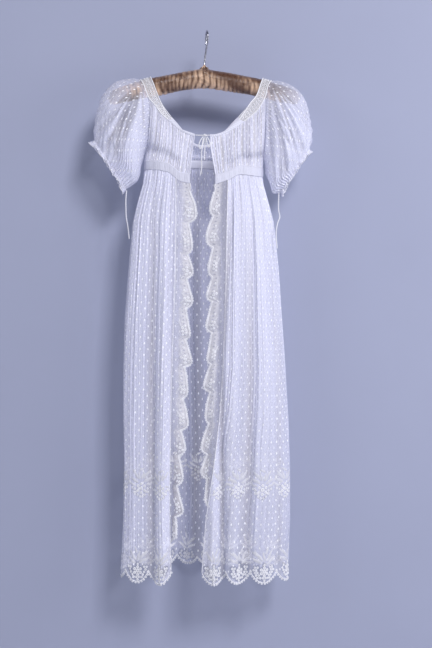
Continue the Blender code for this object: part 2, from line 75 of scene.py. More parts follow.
for sign, how in (("add", "ADD"), ("sub", "SUBTRACT"), ("mul", "MULTIPLY"), ("truediv", "DIVIDE"), ("pow", "POWER")):
    setattr(Signal, f"__{sign}__", lambda self, other, how=how: self.maths(how, self, other))
    setattr(Signal, f"__r{sign}__", lambda self, other, how=how: self.maths(how, other, self))
for name, how in (("least", "MINIMUM"), ("most", "MAXIMUM"), ("__abs__", "ABSOLUTE"), ("sine", "SINE"),
                  ("fraction", "FRACT"), ("root", "SQRT")):
    setattr(Signal, name, lambda self, *other, how=how: self.maths(how, self, *other))


def plug(value, socket):
    """Feeds a socket from a signal, or sets it to a constant."""
    if isinstance(value, Signal):
        socket.id_data.links.new(value.socket, socket)
    else:
        socket.default_value = value


class Finish:
    """A Principled material whose fixed values go on the shader and whose patterns come from nodes."""

    def __init__(self, name, **fixed):
        self.material = bpy.data.materials.new(name)
        self.material.use_nodes = True
        self.tree = self.material.node_tree
        self.shader = self.tree.nodes["Principled BSDF"]
        for key, value in fixed.items():
            self.send(value, key.replace("_", " "))

    def node(self, kind, sockets=(), out=0, **settings):
        node = self.tree.nodes.new("ShaderNode" + kind)
        for key, value in settings.items():
            setattr(node, key, value)
        for key, value in dict(sockets).items():
            plug(value, node.inputs[key])
        return Signal(node.outputs[out])

    def cut(self):
        """Distance across and along the cut cloth, in metres, and the two together."""
        place = self.node("UVMap", uv_map="cut")
        across = self.node("SeparateXYZ", {0: place})
        return across, Signal(across.socket.node.outputs[1]), place

    def attribute(self, name):
        return self.node("Attribute", out=2, attribute_name=name)

    def noise(self, place, scale, detail=2.0):
        return self.node("TexNoise", {"Vector": place, "Scale": scale, "Detail": detail, "Roughness": 0.5})

    def ease(self, value, low, high, at_low=0.0, at_high=1.0):
        """A smooth step from at_low to at_high as the value goes from low to high."""
        sockets = {"Value": value, "From Min": low, "From Max": high, "To Min": at_low, "To Max": at_high}
        return self.node("MapRange", sockets, interpolation_type="SMOOTHSTEP")

    def blend(self, mask, first, second):
        """The first colour where the mask is 0 and the second where it is 1."""
        first, second = (c if isinstance(c, Signal) else (*c, 1.0) for c in (first, second))
        return self.node("Mix", {0: mask, 6: first, 7: second}, out=2, data_type="RGBA")

    def send(self, value, name):
        plug(value, self.shader.inputs[name])

    def paint(self, mask, first, second):
        self.send(self.blend(mask, first, second), "Base Color")

    def relief(self, height, depth):
        """Bump of the given depth in metres."""
        self.send(self.node("Bump", {"Height": height, "Strength": 1.0, "Distance": depth}), "Normal")


def points(*fields):
    """One field of places or pairs from a field for each direction."""
    return np.stack(np.broadcast_arrays(*fields), -1)


def size_of(v):
    return np.linalg.norm(v, axis=-1)


def unit(v):
    return v / np.maximum(size_of(v)[..., None], 1e-12)


def run_of(line):
    """Distance along a line at each of its points."""
    return np.r_[0, np.cumsum(size_of(np.diff(line, axis=0)))]


def even(line, count):
    """The same line as count points an equal distance apart."""
    run = run_of(line)
    at = np.linspace(0, run[-1], count)
    return np.column_stack([np.interp(at, run, line[:, k]) for k in range(3)])


def cubic(a, b, c, d, t):
    """Between b and c as t goes from 0 to 1, by a cubic whose slopes come from the neighbours."""
    return 0.5 * (2 * b + (c - a) * t + (2 * a - 5 * b + 4 * c - d) * t**2 + (3 * b - a - 3 * c + d) * t**3)


def place_on(line, run, at):
    """The point at a distance along a line, and the number of the line's last point before it."""
    c = float(np.interp(at, run, np.arange(len(line))))
    k = min(int(c), len(line) - 2)
    return line[k] * (1 - c + k) + line[k + 1] * (c - k), k


def smooth_line(rows, count):
    """A smooth line of cubics through rows of points given in mm, as count points an equal distance
    apart, in metres."""
    p = np.array(rows, float) / 1000
    ends = np.vstack([2 * p[0] - p[1], p, 2 * p[-1] - p[-2]])
    t = np.linspace(0, 1, 40, endpoint=False)[None, :, None]
    spans = cubic(*(ends[k:len(ends) - 3 + k][:, None] for k in range(4)), t)
    return even(np.vstack([spans.reshape(-1, 3), p[-1:]]), count)


def quads(rows, span, columns):
    """The four corners of each cell of a grid, span cells wide, that wraps round after columns."""
    r, c = np.meshgrid(np.arange(rows - 1), np.arange(span), indexing="ij")
    d = (c + 1) % columns
    return np.stack([r * columns + c, r * columns + d, (r + 1) * columns + d, (r + 1) * columns + c], -1).reshape(-1, 4)


def made(name, places, faces, on_cut, finish, values):
    """A piece in the scene: its points, its faces, each face corner's place on the flat cloth, its
    finish and its named numbers on each point."""
    mesh = bpy.data.meshes.new(name)
    mesh.from_pydata(places, [], faces)
    mesh.uv_layers.new(name="cut").data.foreach_set("uv", on_cut.astype(np.float32).ravel())
    for key, value in values.items():
        mesh.attributes.new(key, "FLOAT", "POINT").data.foreach_set("value", np.asarray(value, np.float32).ravel())
    mesh.shade_smooth()
    mesh.materials.append(finish.material)
    piece = bpy.data.objects.new(name, mesh)
    bpy.context.scene.collection.objects.link(piece)
    return piece


def surface(name, grid, finish, cut, ring=False, ends=False, **values):
    """A piece over a grid of points (rows, columns, 3). cut is the grid's place on the flat cloth; a
    ring closes up across its columns and its cut grid then has one column more. ends caps a tube."""
    rows, columns = grid.shape[:2]
    span = columns if ring else columns - 1
    on_cut = cut.reshape(-1, 2)[quads(rows, span, cut.shape[1])].reshape(-1, 2)
    faces = quads(rows, span, columns).tolist()
    if ends:
        faces.append(list(range(columns))[::-1])
        faces.append([(rows - 1) * columns + k for k in range(columns)])
        on_cut = np.vstack([on_cut, np.tile(cut[0, :1], (columns, 1)), np.tile(cut[-1, :1], (columns, 1))])
    return made(name, grid.reshape(-1, 3), faces, on_cut, finish, values)


def settle(piece, slot, *nodes):
    """The piece belongs to the one body and stands for the nodes, which are hidden. The slot is not used."""
    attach(piece, "root")
    if nodes:
        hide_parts(*nodes)
    return piece


def tube(path, radius, count):
    """Rings of count points round a path: radius * (cos angle * side + sin angle * up), with side
    and up unit vectors across the path that turn as little as can be from ring to ring."""
    along = unit(np.gradient(path, axis=0))
    side = np.zeros_like(along)
    first = np.cross(along[0], (0.3, 1.0, 0.2))
    for k, way in enumerate(along):
        first = first - way * first.dot(way)
        first /= np.linalg.norm(first)
        side[k] = first
    up = np.cross(along, side)
    angle = np.linspace(0, TAU, count, endpoint=False)[None]
    r = radius(angle)[:, :, None] + 0 * angle[:, :, None]
    return path[:, None] + r * (np.cos(angle)[:, :, None] * side[:, None] + np.sin(angle)[:, :, None] * up[:, None])


def two_ply(name, path, radius, finish, pitch=0.0042):
    """A twisted cord: round the path, radius * (1 + 0.28 cos 2(angle - turn)), the turn running on by
    half a circle each pitch, drawn in at both cut ends."""
    run = run_of(path)[:, None]
    turn = np.pi * run / pitch
    close = np.clip(np.minimum(run, run[-1] - run) / (1.2 * radius), 0.35, 1)
    grid = tube(path, lambda angle: radius * close * (
        1 + 0.28 * np.cos(2 * (angle - turn)) + 0.05 * np.sin(run * 900)), 14)
    return surface(name, grid, finish, points(np.linspace(0, TAU, 15)[None] * radius, run), ring=True, ends=True)


cord_cotton = Finish("drawstring_cotton", Roughness=0.85)
across, along, place = cord_cotton.cut()
fuzz = cord_cotton.noise(place, 900.0, 3.0)
cord_cotton.paint(fuzz, (0.74, 0.74, 0.77), (0.9, 0.9, 0.92))
cord_cotton.relief(fuzz + (along * 2600.0 + across * 1700.0).sine() * 0.5, 0.0003)

CORD_RADIUS = 0.001
CORDS = {
    "sleeve_tie_left": ((-167.8, -3.2, -332.5), (-169, -10, -352), (-168.5, -15, -369), (-167.5, -18, -390),
                        (-164, -20, -411), (-161, -21, -436)),
    "sleeve_tie_right": ((151.2, -4.7, -336.8), (150, -17, -373), (152, -25, -390), (147, -31, -405),
                         (144, -34, -426), (146, -37, -457)),
    "neck_string": ((-23.5, -45.4, -223.5), (-14, -47, -224.3), (-3, -47.6, -224.5), (6.6, -45.4, -224)),
    "bow_loop_left": ((-6.4, -52.3, -227.2), (-12.5, -54, -236), (-15.8, -55, -247), (-12.5, -55, -253),
                      (-9.4, -54.5, -247), (-7.4, -54, -236), (-5.2, -54, -229.8)),
    "bow_loop_right": ((0.4, -52.3, -227.2), (5, -54, -235), (7.5, -55, -244), (4.5, -55, -249.5),
                       (1.6, -54.5, -244), (0, -54, -235), (-1.0, -54, -229.8)),
    "bow_end_left": ((-4.3, -51.0, -228.9), (-7.5, -50.2, -244), (-10, -50.4, -260), (-10, -50.4, -290),
                     (-13, -50.8, -308)),
    "bow_end_right": ((-1.8, -51.0, -228.9), (-3.2, -50.4, -244), (-3.8, -50.4, -258), (-4.4, -50.6, -276)),
}
for name, rows in CORDS.items():
    fine = smooth_line(rows, 160)
    piece = settle(two_ply(name + "_twisted", fine, CORD_RADIUS, cord_cotton), "cotton_tape", name)

# The knot of the bow: three turns of the same cord pulled tight, as a thick lumpy ring.
a = np.linspace(0, TAU, 40, endpoint=False)[:, None]
b = np.linspace(0, TAU, 18, endpoint=False)[None]
lump = 0.0016 * (1 + 0.22 * np.cos(3 * a + 2 * b))
ring_r = 0.0014 + lump * np.cos(b)
knot = points(ring_r * np.cos(a), 1.3 * lump * np.sin(b), ring_r * np.sin(a)) + np.array([-3.0, -51.6, -225.2]) / 1000
knot_cut = np.stack(np.meshgrid(np.linspace(0, 0.01, 19), np.linspace(0, 0.02, 41)), -1)
piece = surface("bow_knot_tied", np.concatenate([knot, knot[:1]]), cord_cotton, knot_cut, ring=True)
settle(piece, "cotton_tape", "bow_knot")


# ---- Padded hanger ----
# A bowed wooden bar wrapped in wadding and covered in golden-brown satin. The satin is cut too long
# and pushed up along the bar, so it lies in fine crossways creases, deepest along the lower seam.
PAD_ACROSS, PAD_TOP, PAD_REACH = -0.0055, -0.096, 0.2005
# In mm: distance from the middle, drop of the centre line, half height and half depth.
PAD = np.array((
    (0, 0, 20.5, 19), (50, 8, 20.5, 19), (100, 17.5, 20, 18.5), (130, 24.5, 19.3, 18), (165, 33.5, 18, 17),
    (190, 40.5, 15.5, 15), (197, 42.5, 11, 11), (200.5, 43.5, 2.5, 2.5))) / 1000


def on_pad(x, angle, lift):
    """Points on the pad: half depth * cos angle forwards and half height * sin angle upwards from
    its centre line, with both made larger by lift."""
    drop, tall, wide = (np.interp(np.abs(x - PAD_ACROSS), PAD[:, 0], PAD[:, k]) for k in (1, 2, 3))
    return points(x, -(wide + lift) * np.cos(angle), PAD_TOP - drop + (tall + lift) * np.sin(angle))


def crest(phase):
    """Round ridges with sharp troughs: 1 at each ridge, falling to 0."""
    return np.abs(np.sin(phase / 2)) ** 0.8


satin = Finish("ruched_satin", Roughness=0.36, Specular_IOR_Level=0.6, Sheen_Weight=0.15)
crease = satin.attribute("crest")
across, along, place = satin.cut()
mottle = satin.noise(place, 60.0, 4.0)
fine = ((along + mottle * 0.004) * 2300.0).sine() * 0.5 + 0.5
patchy = satin.noise(place, 34.0, 3.0)
# Painted highlight and shade: the colour runs from near black in the troughs to light tan on the crests of the creases
# as painted sheen, and stays dark where the creases fade out towards the top right as painted shade; the mottling is
# the satin's own uneven tone.
sheen_and_shade = satin.ease(crease * (patchy * 1.5 + 0.15) + mottle * 0.5 + fine * 0.1, 0.3, 0.95)
satin.paint(sheen_and_shade, (0.085, 0.030, 0.010), (0.86, 0.58, 0.385))
satin.send(satin.ease(mottle, 0.3, 0.7, 0.24, 0.38), "Roughness")
weave = (across * 9000.0).sine() * 0.3 + satin.noise(place, 700.0, 3.0)
satin.relief(weave * 0.05 + fine * 0.6 + satin.noise(place, 90.0, 2.0) * 0.5, 0.0009)

tip = 0.004 * np.linspace(0, 1, 8)[:-1] ** 2
s = np.concatenate([tip - PAD_REACH, np.linspace(0.004 - PAD_REACH, PAD_REACH - 0.004, 390),
                    PAD_REACH - 0.004 * np.linspace(1, 0, 8)[1:] ** 2])[:, None]
phi = np.linspace(0, TAU, 52, endpoint=False)[None]
mm = s * 1000
# How far apart the creases are, in mm.
NARROW_CREASES, BROAD_CREASES = 7.4, 12.8
narrow = crest(TAU * (mm + 2.1 * np.sin(mm / 17)) / NARROW_CREASES + 1.3 * np.sin(phi + mm / 31)
               + 1.1 * np.sin(2 * phi + mm / 11 + 1)) * (0.6 + 0.4 * np.sin(mm / 13 + 2 * phi))
broad = crest(TAU * (mm + 3.2 * np.sin(mm / 29 + 1)) / BROAD_CREASES + 1.6 * np.sin(phi + mm / 37 + 4)
              + 0.8 * np.sin(3 * phi + mm / 19)) * (0.5 + 0.5 * np.sin(mm / 19 + phi + 2))
creases = narrow + 1.4 * broad
deep = np.clip(0.66 - 0.1 * mm / 100 - (0.36 + 0.1 * mm / 100) * np.sin(phi + 0.25), 0.12, 1)
under_sleeve = 1 - 0.55 * np.clip((np.abs(mm) - 95) / 15, 0, 1)
bunched_at_hook = np.exp(-(mm / 9.0) ** 2) * (1.0 + 0.9 * np.sin(13 * phi + mm / 3))
lift = ((1.5 * creases * deep - 1.9) * under_sleeve + bunched_at_hook) / 1000
pad = on_pad(PAD_ACROSS + s, phi, lift * np.clip((PAD_REACH - np.abs(s)) / 0.004, 0, 1))
ruched = surface("hanger_ruched_pad", pad, satin, points(np.linspace(0, 0.124, 53)[None], s), ring=True, ends=True,
                 crest=creases * deep / 2.4)
settle(ruched, "golden_satin", "hanger_pad")

# The frill of satin drawn up round the foot of the hook.
t = np.linspace(0, 1, 12)[:, None]
a = np.linspace(0, TAU, 96, endpoint=False)[None]
flute = (0.0022 + 0.0058 * t**1.6) * (1 + 0.22 * t * np.sin(11 * a + 2 * t) + 0.1 * t * np.sin(5 * a + 1))
frill = points(-0.005 + flute * np.cos(a), flute * np.sin(a), -0.0688 - 0.0075 * t**0.7 + 0.0008 * t * np.cos(11 * a))
settle(surface("hanger_hook_frill", frill, satin, points(np.linspace(0, 0.05, 97)[None], t * 0.01), ring=True,
               crest=0.5 + 0.5 * np.sin(11 * a) + 0 * t), "golden_satin")

# The hook is bent from bright drawn steel wire, screwed into the bar, its cut end filed round.
steel = Finish("bright_wire", Metallic=1.0)
haze = steel.noise(steel.node("TexCoord", out=3), 260.0, 4.0)
steel.send(steel.ease(haze, 0.3, 0.7, 0.2, 0.3), "Roughness")
steel.paint(haze, (0.36, 0.36, 0.39), (0.48, 0.48, 0.52))
steel.relief(haze, 0.00005)
HOOK = ((-5.0, 0.0, -74.6), (-4.0, 1.0, -58.0), (-1.0, -6.0, -38.0), (2.0, -15.0, -22.0), (2.5, -17.0, -10.0),
        (1.5, -11.0, -1.5), (0.0, 0.0, 1.8), (-1.0, 11.0, -1.5), (-1.5, 17.0, -12.0), (-1.5, 16.0, -24.0))
run = np.linspace(0, 1, 180)[:, None]
filed = np.sqrt(np.clip(1 - np.clip((run - 0.985) / 0.015, 0, 0.98) ** 2, 0, 1))
wire = tube(smooth_line(HOOK, 180), lambda angle: 0.0018 * filed, 20)
wire_cut = points(np.linspace(0, 0.0113, 21)[None], run * 0.14)
settle(surface("hanger_wire", wire, steel, wire_cut, ring=True, ends=True), "polished_steel", "hanger_hook")


# ---- Skirt ----
# Two front panels and a back of sheer muslin net, woven with small oval dots in half-drop rows. Each
# is cut nearly straight, gathered into the waistband, and falls in long soft folds to a scalloped hem.
def threads(across, along, apart):
    """0 on the threads of a mesh and 1 in the middle of its holes."""
    return abs((across * (np.pi / apart)).sine()) * abs((along * (np.pi / apart)).sine())


def show_cover(finish, cover):
    """Alpha: how much of the view the threads cover, less what is cut away in open work."""
    finish.send(cover * finish.ease(finish.attribute("open_work"), 0.35, 0.65, 1.0, 0.04), "Alpha")


# How far apart the threads and the dots are, in metres.
THREADS_APART, DOTS_ACROSS, DOTS_ALONG = 0.0011, 0.020, 0.024


def dotted_muslin(name, dot, whole):
    """Sheer cloth: threads that cover part of the view, more where it is gathered close, with solid
    raised dots of half width and half height dot in half-drop rows."""
    finish = Finish(name, Roughness=0.9)
    across, along, place = finish.cut()
    slub = finish.noise(place, 240.0, 3.0)
    ground = finish.ease(threads(across, along, THREADS_APART), 0.12, 0.75, 0.62, 0.2) + (slub - 0.5) * 0.25
    wander = (finish.noise(place, 45.0, 1.0) - 0.5) * 0.06

    def from_dot(shift):
        x, y = (((way / apart + wander + shift).fraction() - 0.5) * (apart / half)
                for way, apart, half in ((across, DOTS_ACROSS, dot[0]), (along, DOTS_ALONG, dot[1])))
        return (x * x + y * y).root()

    spot = finish.ease(from_dot(0.0).least(from_dot(0.5)), 0.65, 1.2, 1.0, 0.0)
    plain = finish.blend(slub, (0.77, 0.78, 0.925), (0.86, 0.87, 1.0))
    # Painted shade: the cloth's colour is darkened towards grey by the valley number on each point, in the troughs of
    # folds and gathers.
    plain = finish.blend(finish.attribute("valley"), plain, (0.66, 0.64, 0.665))
    finish.paint(spot, plain, (0.96, 0.96, 0.985))
    cover = 1.0 - (1.0 - ground) ** finish.attribute("packed")
    show_cover(finish, cover.most(spot * whole).least(1.0))
    finish.relief(ground * 0.25 + spot, 0.0005)
    return finish


muslin = dotted_muslin("dotted_muslin", (0.00175, 0.0029), 0.96)
single_muslin = dotted_muslin("dotted_muslin_back", (0.0019, 0.0031), 1.0)

WAISTBAND = 0.0195
WAIST = {
    "left": ((-131, 0, -270), (-123, -18, -272), (-101, -33, -275), (-80, -38, -280), (-65, -41, -291),
             (-55, -42.5, -299), (-34, -44.5, -304)),
    "right": ((118, 0, -285), (111, -18, -287), (90, -33, -286), (69, -38, -285), (59, -41, -289),
              (48, -42.5, -295), (18, -45, -306)),
    "back": ((-131, 0, -270), (-125, 18, -267), (-100, 32, -264), (-57, 40, -263), (-10, 43, -263),
             (39, 41, -266), (81, 34, -271), (113, 18, -282), (118, 0, -285)),
}
# By height: up, left side, right side, lace seam and edge at left, edge and seam at right, depths.
SKIRT = np.array((
    (-320, -139, 122, -63, -36, 18, 44, 45, 43), (-398, -155, 139, -63, -40, 16, 42, 46, 43),
    (-501, -164, 150, -64, -43, 14, 40, 48, 44), (-604, -172, 157, -67, -45, 13, 38, 50, 45),
    (-708, -175, 164, -71, -48, 11, 34, 51, 46), (-811, -175, 170, -74, -54, 7, 26, 52, 47),
    (-914, -173, 174, -76, -61, 1, 14, 54, 48), (-1017, -175, 174, -76, -66, 12, -1, 56, 50),
    (-1122, -180, 170, -73, -86, 8, -9, 58, 52)), float)[::-1] / 1000
LEFT_SIDE, RIGHT_SIDE, LEFT_SEAM, LEFT_EDGE, RIGHT_EDGE, RIGHT_SEAM, FRONT_DEPTH, BACK_DEPTH = range(1, 9)
ROUNDNESS = 2.6
# Hem: height of the notches, drop of a scallop, places of the notches across.
HEM_FRONT = (-1.119, 0.024, np.array((-215, -167, -120, -73, -41, -10, 40, 90, 145, 190)) / 1000)
HEM_BACK = (-1.107, 0.017, np.array((-196, -152, -108, -64, -21, 24, 68, 112, 156, 200)) / 1000)
# Long folds: place at the waist, half way and at the hem, half width, stand-out half way and at hem.
FOLDS_FRONT = np.array((
    (-132, -152, -160, 13, 3, 6), (-106, -114, -113, 9, -7, -10), (-88, -88, -90, 12, 9, 13),
    (-66, -72.5, -74, 4, -4, -6), (-48, -50, -64, 9, 2, 3), (22, 16, 13, 12, 6, 10), (54, 29, 34, 7, -7, -10),
    (72, 54, 50, 13, 5, 8), (92, 90, 81, 10, -5, -9), (108, 122, 118, 15, 6, 9), (114, 148, 150, 9, -3, -5),
    (-97, -101, -103, 4, 1.5, 2.5), (-78, -76, -82, 4, -1.5, -2), (62, 42, 40, 4, 1.5, 2), (80, 72, 66, 5, -2, -3),
    (100, 106, 100, 5, 1.5, 2.5))) / 1000
FOLDS_BACK = np.array((
    (-108, -132, -140, 15, 6, 9), (-84, -96, -104, 10, -6, -9), (-52, -58, -62, 15, 7, 11),
    (-22, -20, -24, 11, -6, -9), (10, 16, 12, 16, 7, 11), (42, 52, 52, 11, -6, -9), (72, 90, 94, 15, 7, 10),
    (98, 128, 136, 12, -5, -8), (-36, -40, -44, 5, 2, 3), (24, 34, 33, 5, -2, -3), (-70, -78, -82, 5, 2, 2))) / 1000
# Where a fold is laid over on itself: its place, half width, and extra cloth half way and at the hem.
LAPS_FRONT = np.array(((-84, -87, -89, 12, 550, 900), (44, 24, 13, 15, 300, 700))) / 1000
WAIST_LEVEL, MIDDLE_LEVEL, HEM_LEVEL = -0.32, -0.70, -1.12
# The heights at which the wall of the skirt is worked out.
LEVELS = np.linspace(-0.285, -1.150, 150)


def skirt_size(z, column):
    """One column of SKIRT at a height."""
    return np.interp(z, SKIRT[:, 0], SKIRT[:, column])


def fold_out(x, z, folds):
    """Sum of the long folds: each a bell across its place, growing from the waist to the hem."""
    total = 0
    for waist, middle, hem, width, out_middle, out_hem in folds:
        place = np.interp(z, (HEM_LEVEL, MIDDLE_LEVEL, WAIST_LEVEL), (hem, middle, waist))
        out = np.interp(z, (HEM_LEVEL, -0.65, -0.44, -0.325), (out_hem, out_middle, 0.5 * out_middle, 0))
        total = total + out * np.exp(-((x - place) / width) ** 2)
    return total


def section_points(z, x, back):
    """The skirt's wall at a height and a place across: a flattened superellipse plus its folds."""
    left, right = skirt_size(z, LEFT_SIDE), skirt_size(z, RIGHT_SIDE)
    s = (x - (left + right) / 2) / ((right - left) / 2)
    shape = (1 - np.minimum(np.abs(s), 1) ** ROUNDNESS) ** (1 / ROUNDNESS)
    depth, folds = (BACK_DEPTH, FOLDS_BACK) if back else (FRONT_DEPTH, FOLDS_FRONT)
    return points(x, (skirt_size(z, depth) + fold_out(x, z, folds) * 1.3) * shape * (1 if back else -1), z)


def skin(sides, back, columns):
    """Wall points by level, each level's points an equal distance apart from one side to the other."""
    z = LEVELS[:, None]
    left, right = skirt_size(z, LEFT_SIDE), skirt_size(z, RIGHT_SIDE)
    middle, half = (left + right) / 2, (right - left) / 2
    low, high = (np.arccos(np.clip(-(skirt_size(z, side) - middle) / half, -1, 1)) for side in sides)
    turn = low + (high - low) * np.linspace(0, 1, 500)[None]
    return np.stack([even(row, columns) for row in section_points(z, middle - half * np.cos(turn), back)])


def read(field, r, c):
    """A grid of points at rows r and columns c, which need not be whole numbers."""
    r = np.clip(r, 0, len(field) - 1.001)
    r0, c0 = r.astype(int), np.minimum(c.astype(int), field.shape[1] - 2)
    rs, cs = (r - r0)[..., None], (c - c0)[..., None]
    upper, lower = (field[k, c0] * (1 - cs) + field[k, c0 + 1] * cs for k in (r0, r0 + 1))
    return upper * (1 - rs) + lower * rs


def sample(wall, z):
    """The wall at heights z (rows, columns), read between its levels."""
    r = (LEVELS[0] - z) / (LEVELS[0] - LEVELS[-1]) * (len(LEVELS) - 1)
    return read(wall, r, np.arange(wall.shape[1])[None])


def sewn(grid, top, t):
    """The grid with its top row moved on to the line that it is sewn to, and the rows below it
    moved less and less: by (1 - t / 0.16)^2 of that."""
    return grid + (top - grid[0]) * np.maximum(0, 1 - t / 0.16)[..., None] ** 2


def hem_drop(x, hem):
    """How far the scalloped hem hangs below its notches: half waves between the notches."""
    return hem[1] * np.abs(np.sin(np.pi * np.interp(x, hem[2], np.arange(len(hem[2]))))) ** 0.7


def normals(grid, ring=False):
    wide = np.concatenate([grid[:, -1:], grid, grid[:, :1]], axis=1) if ring else grid
    across = np.gradient(wide, axis=1)
    return unit(np.cross(np.gradient(grid, axis=0), across[:, 1:-1] if ring else across))


def gathers(part, fall, count, seed, depth=0.0014):
    """How far gathered cloth stands in and out: pleats at the seam that die away below it, wider
    soft folds that carry on, and fine crinkles, all with uneven spacing."""
    rng = np.random.default_rng(seed)
    p = rng.uniform(0, TAU, 24)
    uneven = part + (0.35 * np.sin(TAU * 3.1 * part + p[0]) + 0.3 * np.sin(TAU * 5.7 * part + p[1])) / count
    pleat = np.cos(TAU * count * uneven)
    loud = 0.8 + 0.2 * np.sin(TAU * 4.3 * part + p[2])
    total = depth * loud * np.sign(pleat) * np.abs(pleat) ** 0.75 * np.exp(-fall / 0.075)
    wide = np.cos(TAU * count / 2.6 * uneven + 0.5 * np.sin(6 * fall + p[3]) + p[4])
    total = total + 0.0019 * wide * (1 - np.exp(-fall / 0.05)) * np.exp(-fall / 0.9)
    lines = np.cos(TAU * count * 1.15 * uneven + 0.9 * np.sin(9 * fall + p[5]) + p[6])
    total = total + 0.0007 * lines * (1 - np.exp(-fall / 0.08))
    for k in range(5):
        turns = count * rng.uniform(1.5, 3.4)
        sway = 2 * np.sin(TAU * fall * rng.uniform(1.5, 4) + p[8 + k])
        total = total + 0.00016 * np.sin(TAU * turns * part + sway + p[14 + k])
    return total


# The cloths that white work is laid on: the rows down to the notches, at shares t of the way, and
# then the tail rows that reach down into the scallops by drop. holes lists what is cut away.
PANELS = {}


def skirt_panel(node, waist, sides, hem, back, columns, count, seed):
    """One panel: straight down from its part of the waistband to the notches, and then by a few
    more rows into the scallops. It is sheerer where it is single and denser where folds lie close."""
    wall = skin(sides, back, columns)
    top = even(waist, columns)
    part = np.linspace(0, 1, columns)[None]
    # Rows stand closer where the two borders are worked.
    t = np.unique(np.r_[np.linspace(0, 1, 112) ** 1.15, np.linspace(0.755, 0.85, 44), np.linspace(0.955, 1, 26)])
    rows = len(t)
    t = t[:, None]
    main = sewn(sample(wall, top[None, :, 2] * (1 - t) + hem[0] * t), top, t)
    drop = hem_drop(main[-1, :, 0], hem) + 0.0004
    reach = np.linspace(0, 1, 19)[1:, None]
    grid = np.concatenate([main, sample(wall, hem[0] - reach * drop[None])])
    length = top[:, 2] - hem[0]
    fall = np.concatenate([t * length[None], length[None] + reach * drop[None]])
    step = size_of(np.diff(grid, axis=1))
    flat = float(step[rows - 1].sum()) * 1.06
    step = np.concatenate([step, step[:, -1:]], axis=1)
    broad = grid.copy()
    for _ in range(12):
        broad[:, 1:-1] = (broad[:, 2:] + broad[:, :-2]) / 2
    out = normals(grid)
    slant = np.clip(np.abs(np.sum(out * normals(broad), axis=2)), 0.5, 1)
    packed = np.clip(flat / (columns - 1) / step, 0.9, 2.4) / slant**1.5 * (1 + 0.3 * np.exp(-fall / 0.22))
    out = out * np.sign(out[..., 1:2]) * (1 if back else -1)
    wave = gathers(part, fall, count, seed)
    from_seam = np.clip(fall / 0.006, 0, 1)
    lift = wave * np.maximum(from_seam, 0.25) * np.minimum(1, np.minimum(part, 1 - part) / 0.012)
    grid = grid + out * (lift - 0.0006 * (1 - from_seam))[..., None]
    slope = np.abs(np.gradient(wave, axis=1)) / np.maximum(step, 1e-6)
    packed = packed * (1 + 0.35 * np.minimum(slope, 1.5) ** 2) * (1 + 0.14 * np.clip(wave / 0.0012, -1.5, 1.6))
    x, z = grid[..., 0], grid[..., 2]
    long_fold = fold_out(x, z, FOLDS_BACK if back else FOLDS_FRONT)
    packed = packed * (1 + 0.3 * np.clip(long_fold / 0.009, -1, 1.2)) * (1 - 0.2 * np.clip((-1.03 - z) / 0.05, 0, 1))
    packed = packed * 0.9 if back else packed + fold_out(x, z, LAPS_FRONT)
    # Painted shade: colour darkened in the troughs of the long folds and, near the waistband, of the gathers.
    valley = np.maximum(np.clip(-long_fold / 0.007, 0, 1),
                        0.5 * np.clip(-wave / 0.0016, 0, 1) * np.exp(-fall / 0.16))
    piece = surface(node + "_cloth", grid, single_muslin if back else muslin, points(part * flat, -fall),
                    packed=packed, valley=valley)
    settle(piece, "dotted_muslin", node)
    PANELS[node + "_cloth"] = SimpleNamespace(
        piece=piece, grid=grid, out=out, drop=drop, t=t[:, 0], rows=rows, tail=len(reach), holes=[])


def below_band(name):
    """The waistband's lower edge."""
    return smooth_line(WAIST[name], 500 if name == "back" else 400) - (0, 0, WAISTBAND - 0.0015)


LACE_TOP = {}
for side, edges, seed in (("left", (LEFT_SIDE, LEFT_SEAM), 3), ("right", (RIGHT_SIDE, RIGHT_SEAM), 8)):
    line = below_band(side)
    seam = int(np.argmin(np.abs(line[:, 0] - skirt_size(WAIST_LEVEL, edges[1]))))
    LACE_TOP[side] = line[seam:]
    skirt_panel("skirt_front_" + side, line[:seam + 1], edges, HEM_FRONT, back=False, columns=230, count=13, seed=seed)
skirt_panel("skirt_back", below_band("back"), (LEFT_SIDE, RIGHT_SIDE), HEM_BACK, back=True, columns=390, count=26,
            seed=21)


# ---- Waistband ----
# A straight band of doubled cotton, 19.5 mm high, in two fronts and a back. The gathers above and
# below are caught inside it, and a corded line runs along each of its edges.
def twilled(name, dark, light):
    """Close plain cotton with a slanting twill line and slubs, between two shades."""
    finish = Finish(name, Roughness=0.85)
    across, along, place = finish.cut()
    twill = ((across + along) * 5200.0).sine() * 0.5 + 0.5
    slub = finish.noise(place, 500.0, 3.0)
    finish.paint(slub * 0.6 + twill * 0.4, dark, light)
    finish.relief(twill * 0.6 + slub, 0.0002)
    return finish


tape = twilled("cotton_tape", (0.66, 0.665, 0.75), (0.82, 0.825, 0.93))
# Painted shade: the waistband is the same cotton tape as the casings, painted darker.
band_cotton_shaded = twilled("waistband_cotton_shaded", (0.60, 0.605, 0.69), (0.745, 0.75, 0.855))


def outward(grid):
    """Unit normals of a grid, turned away from the middle of the gown."""
    n = normals(grid)
    away = points((grid[..., 0] + 0.006) * 0.3, grid[..., 1], 0)
    return n * np.sign(np.sum(n * away))


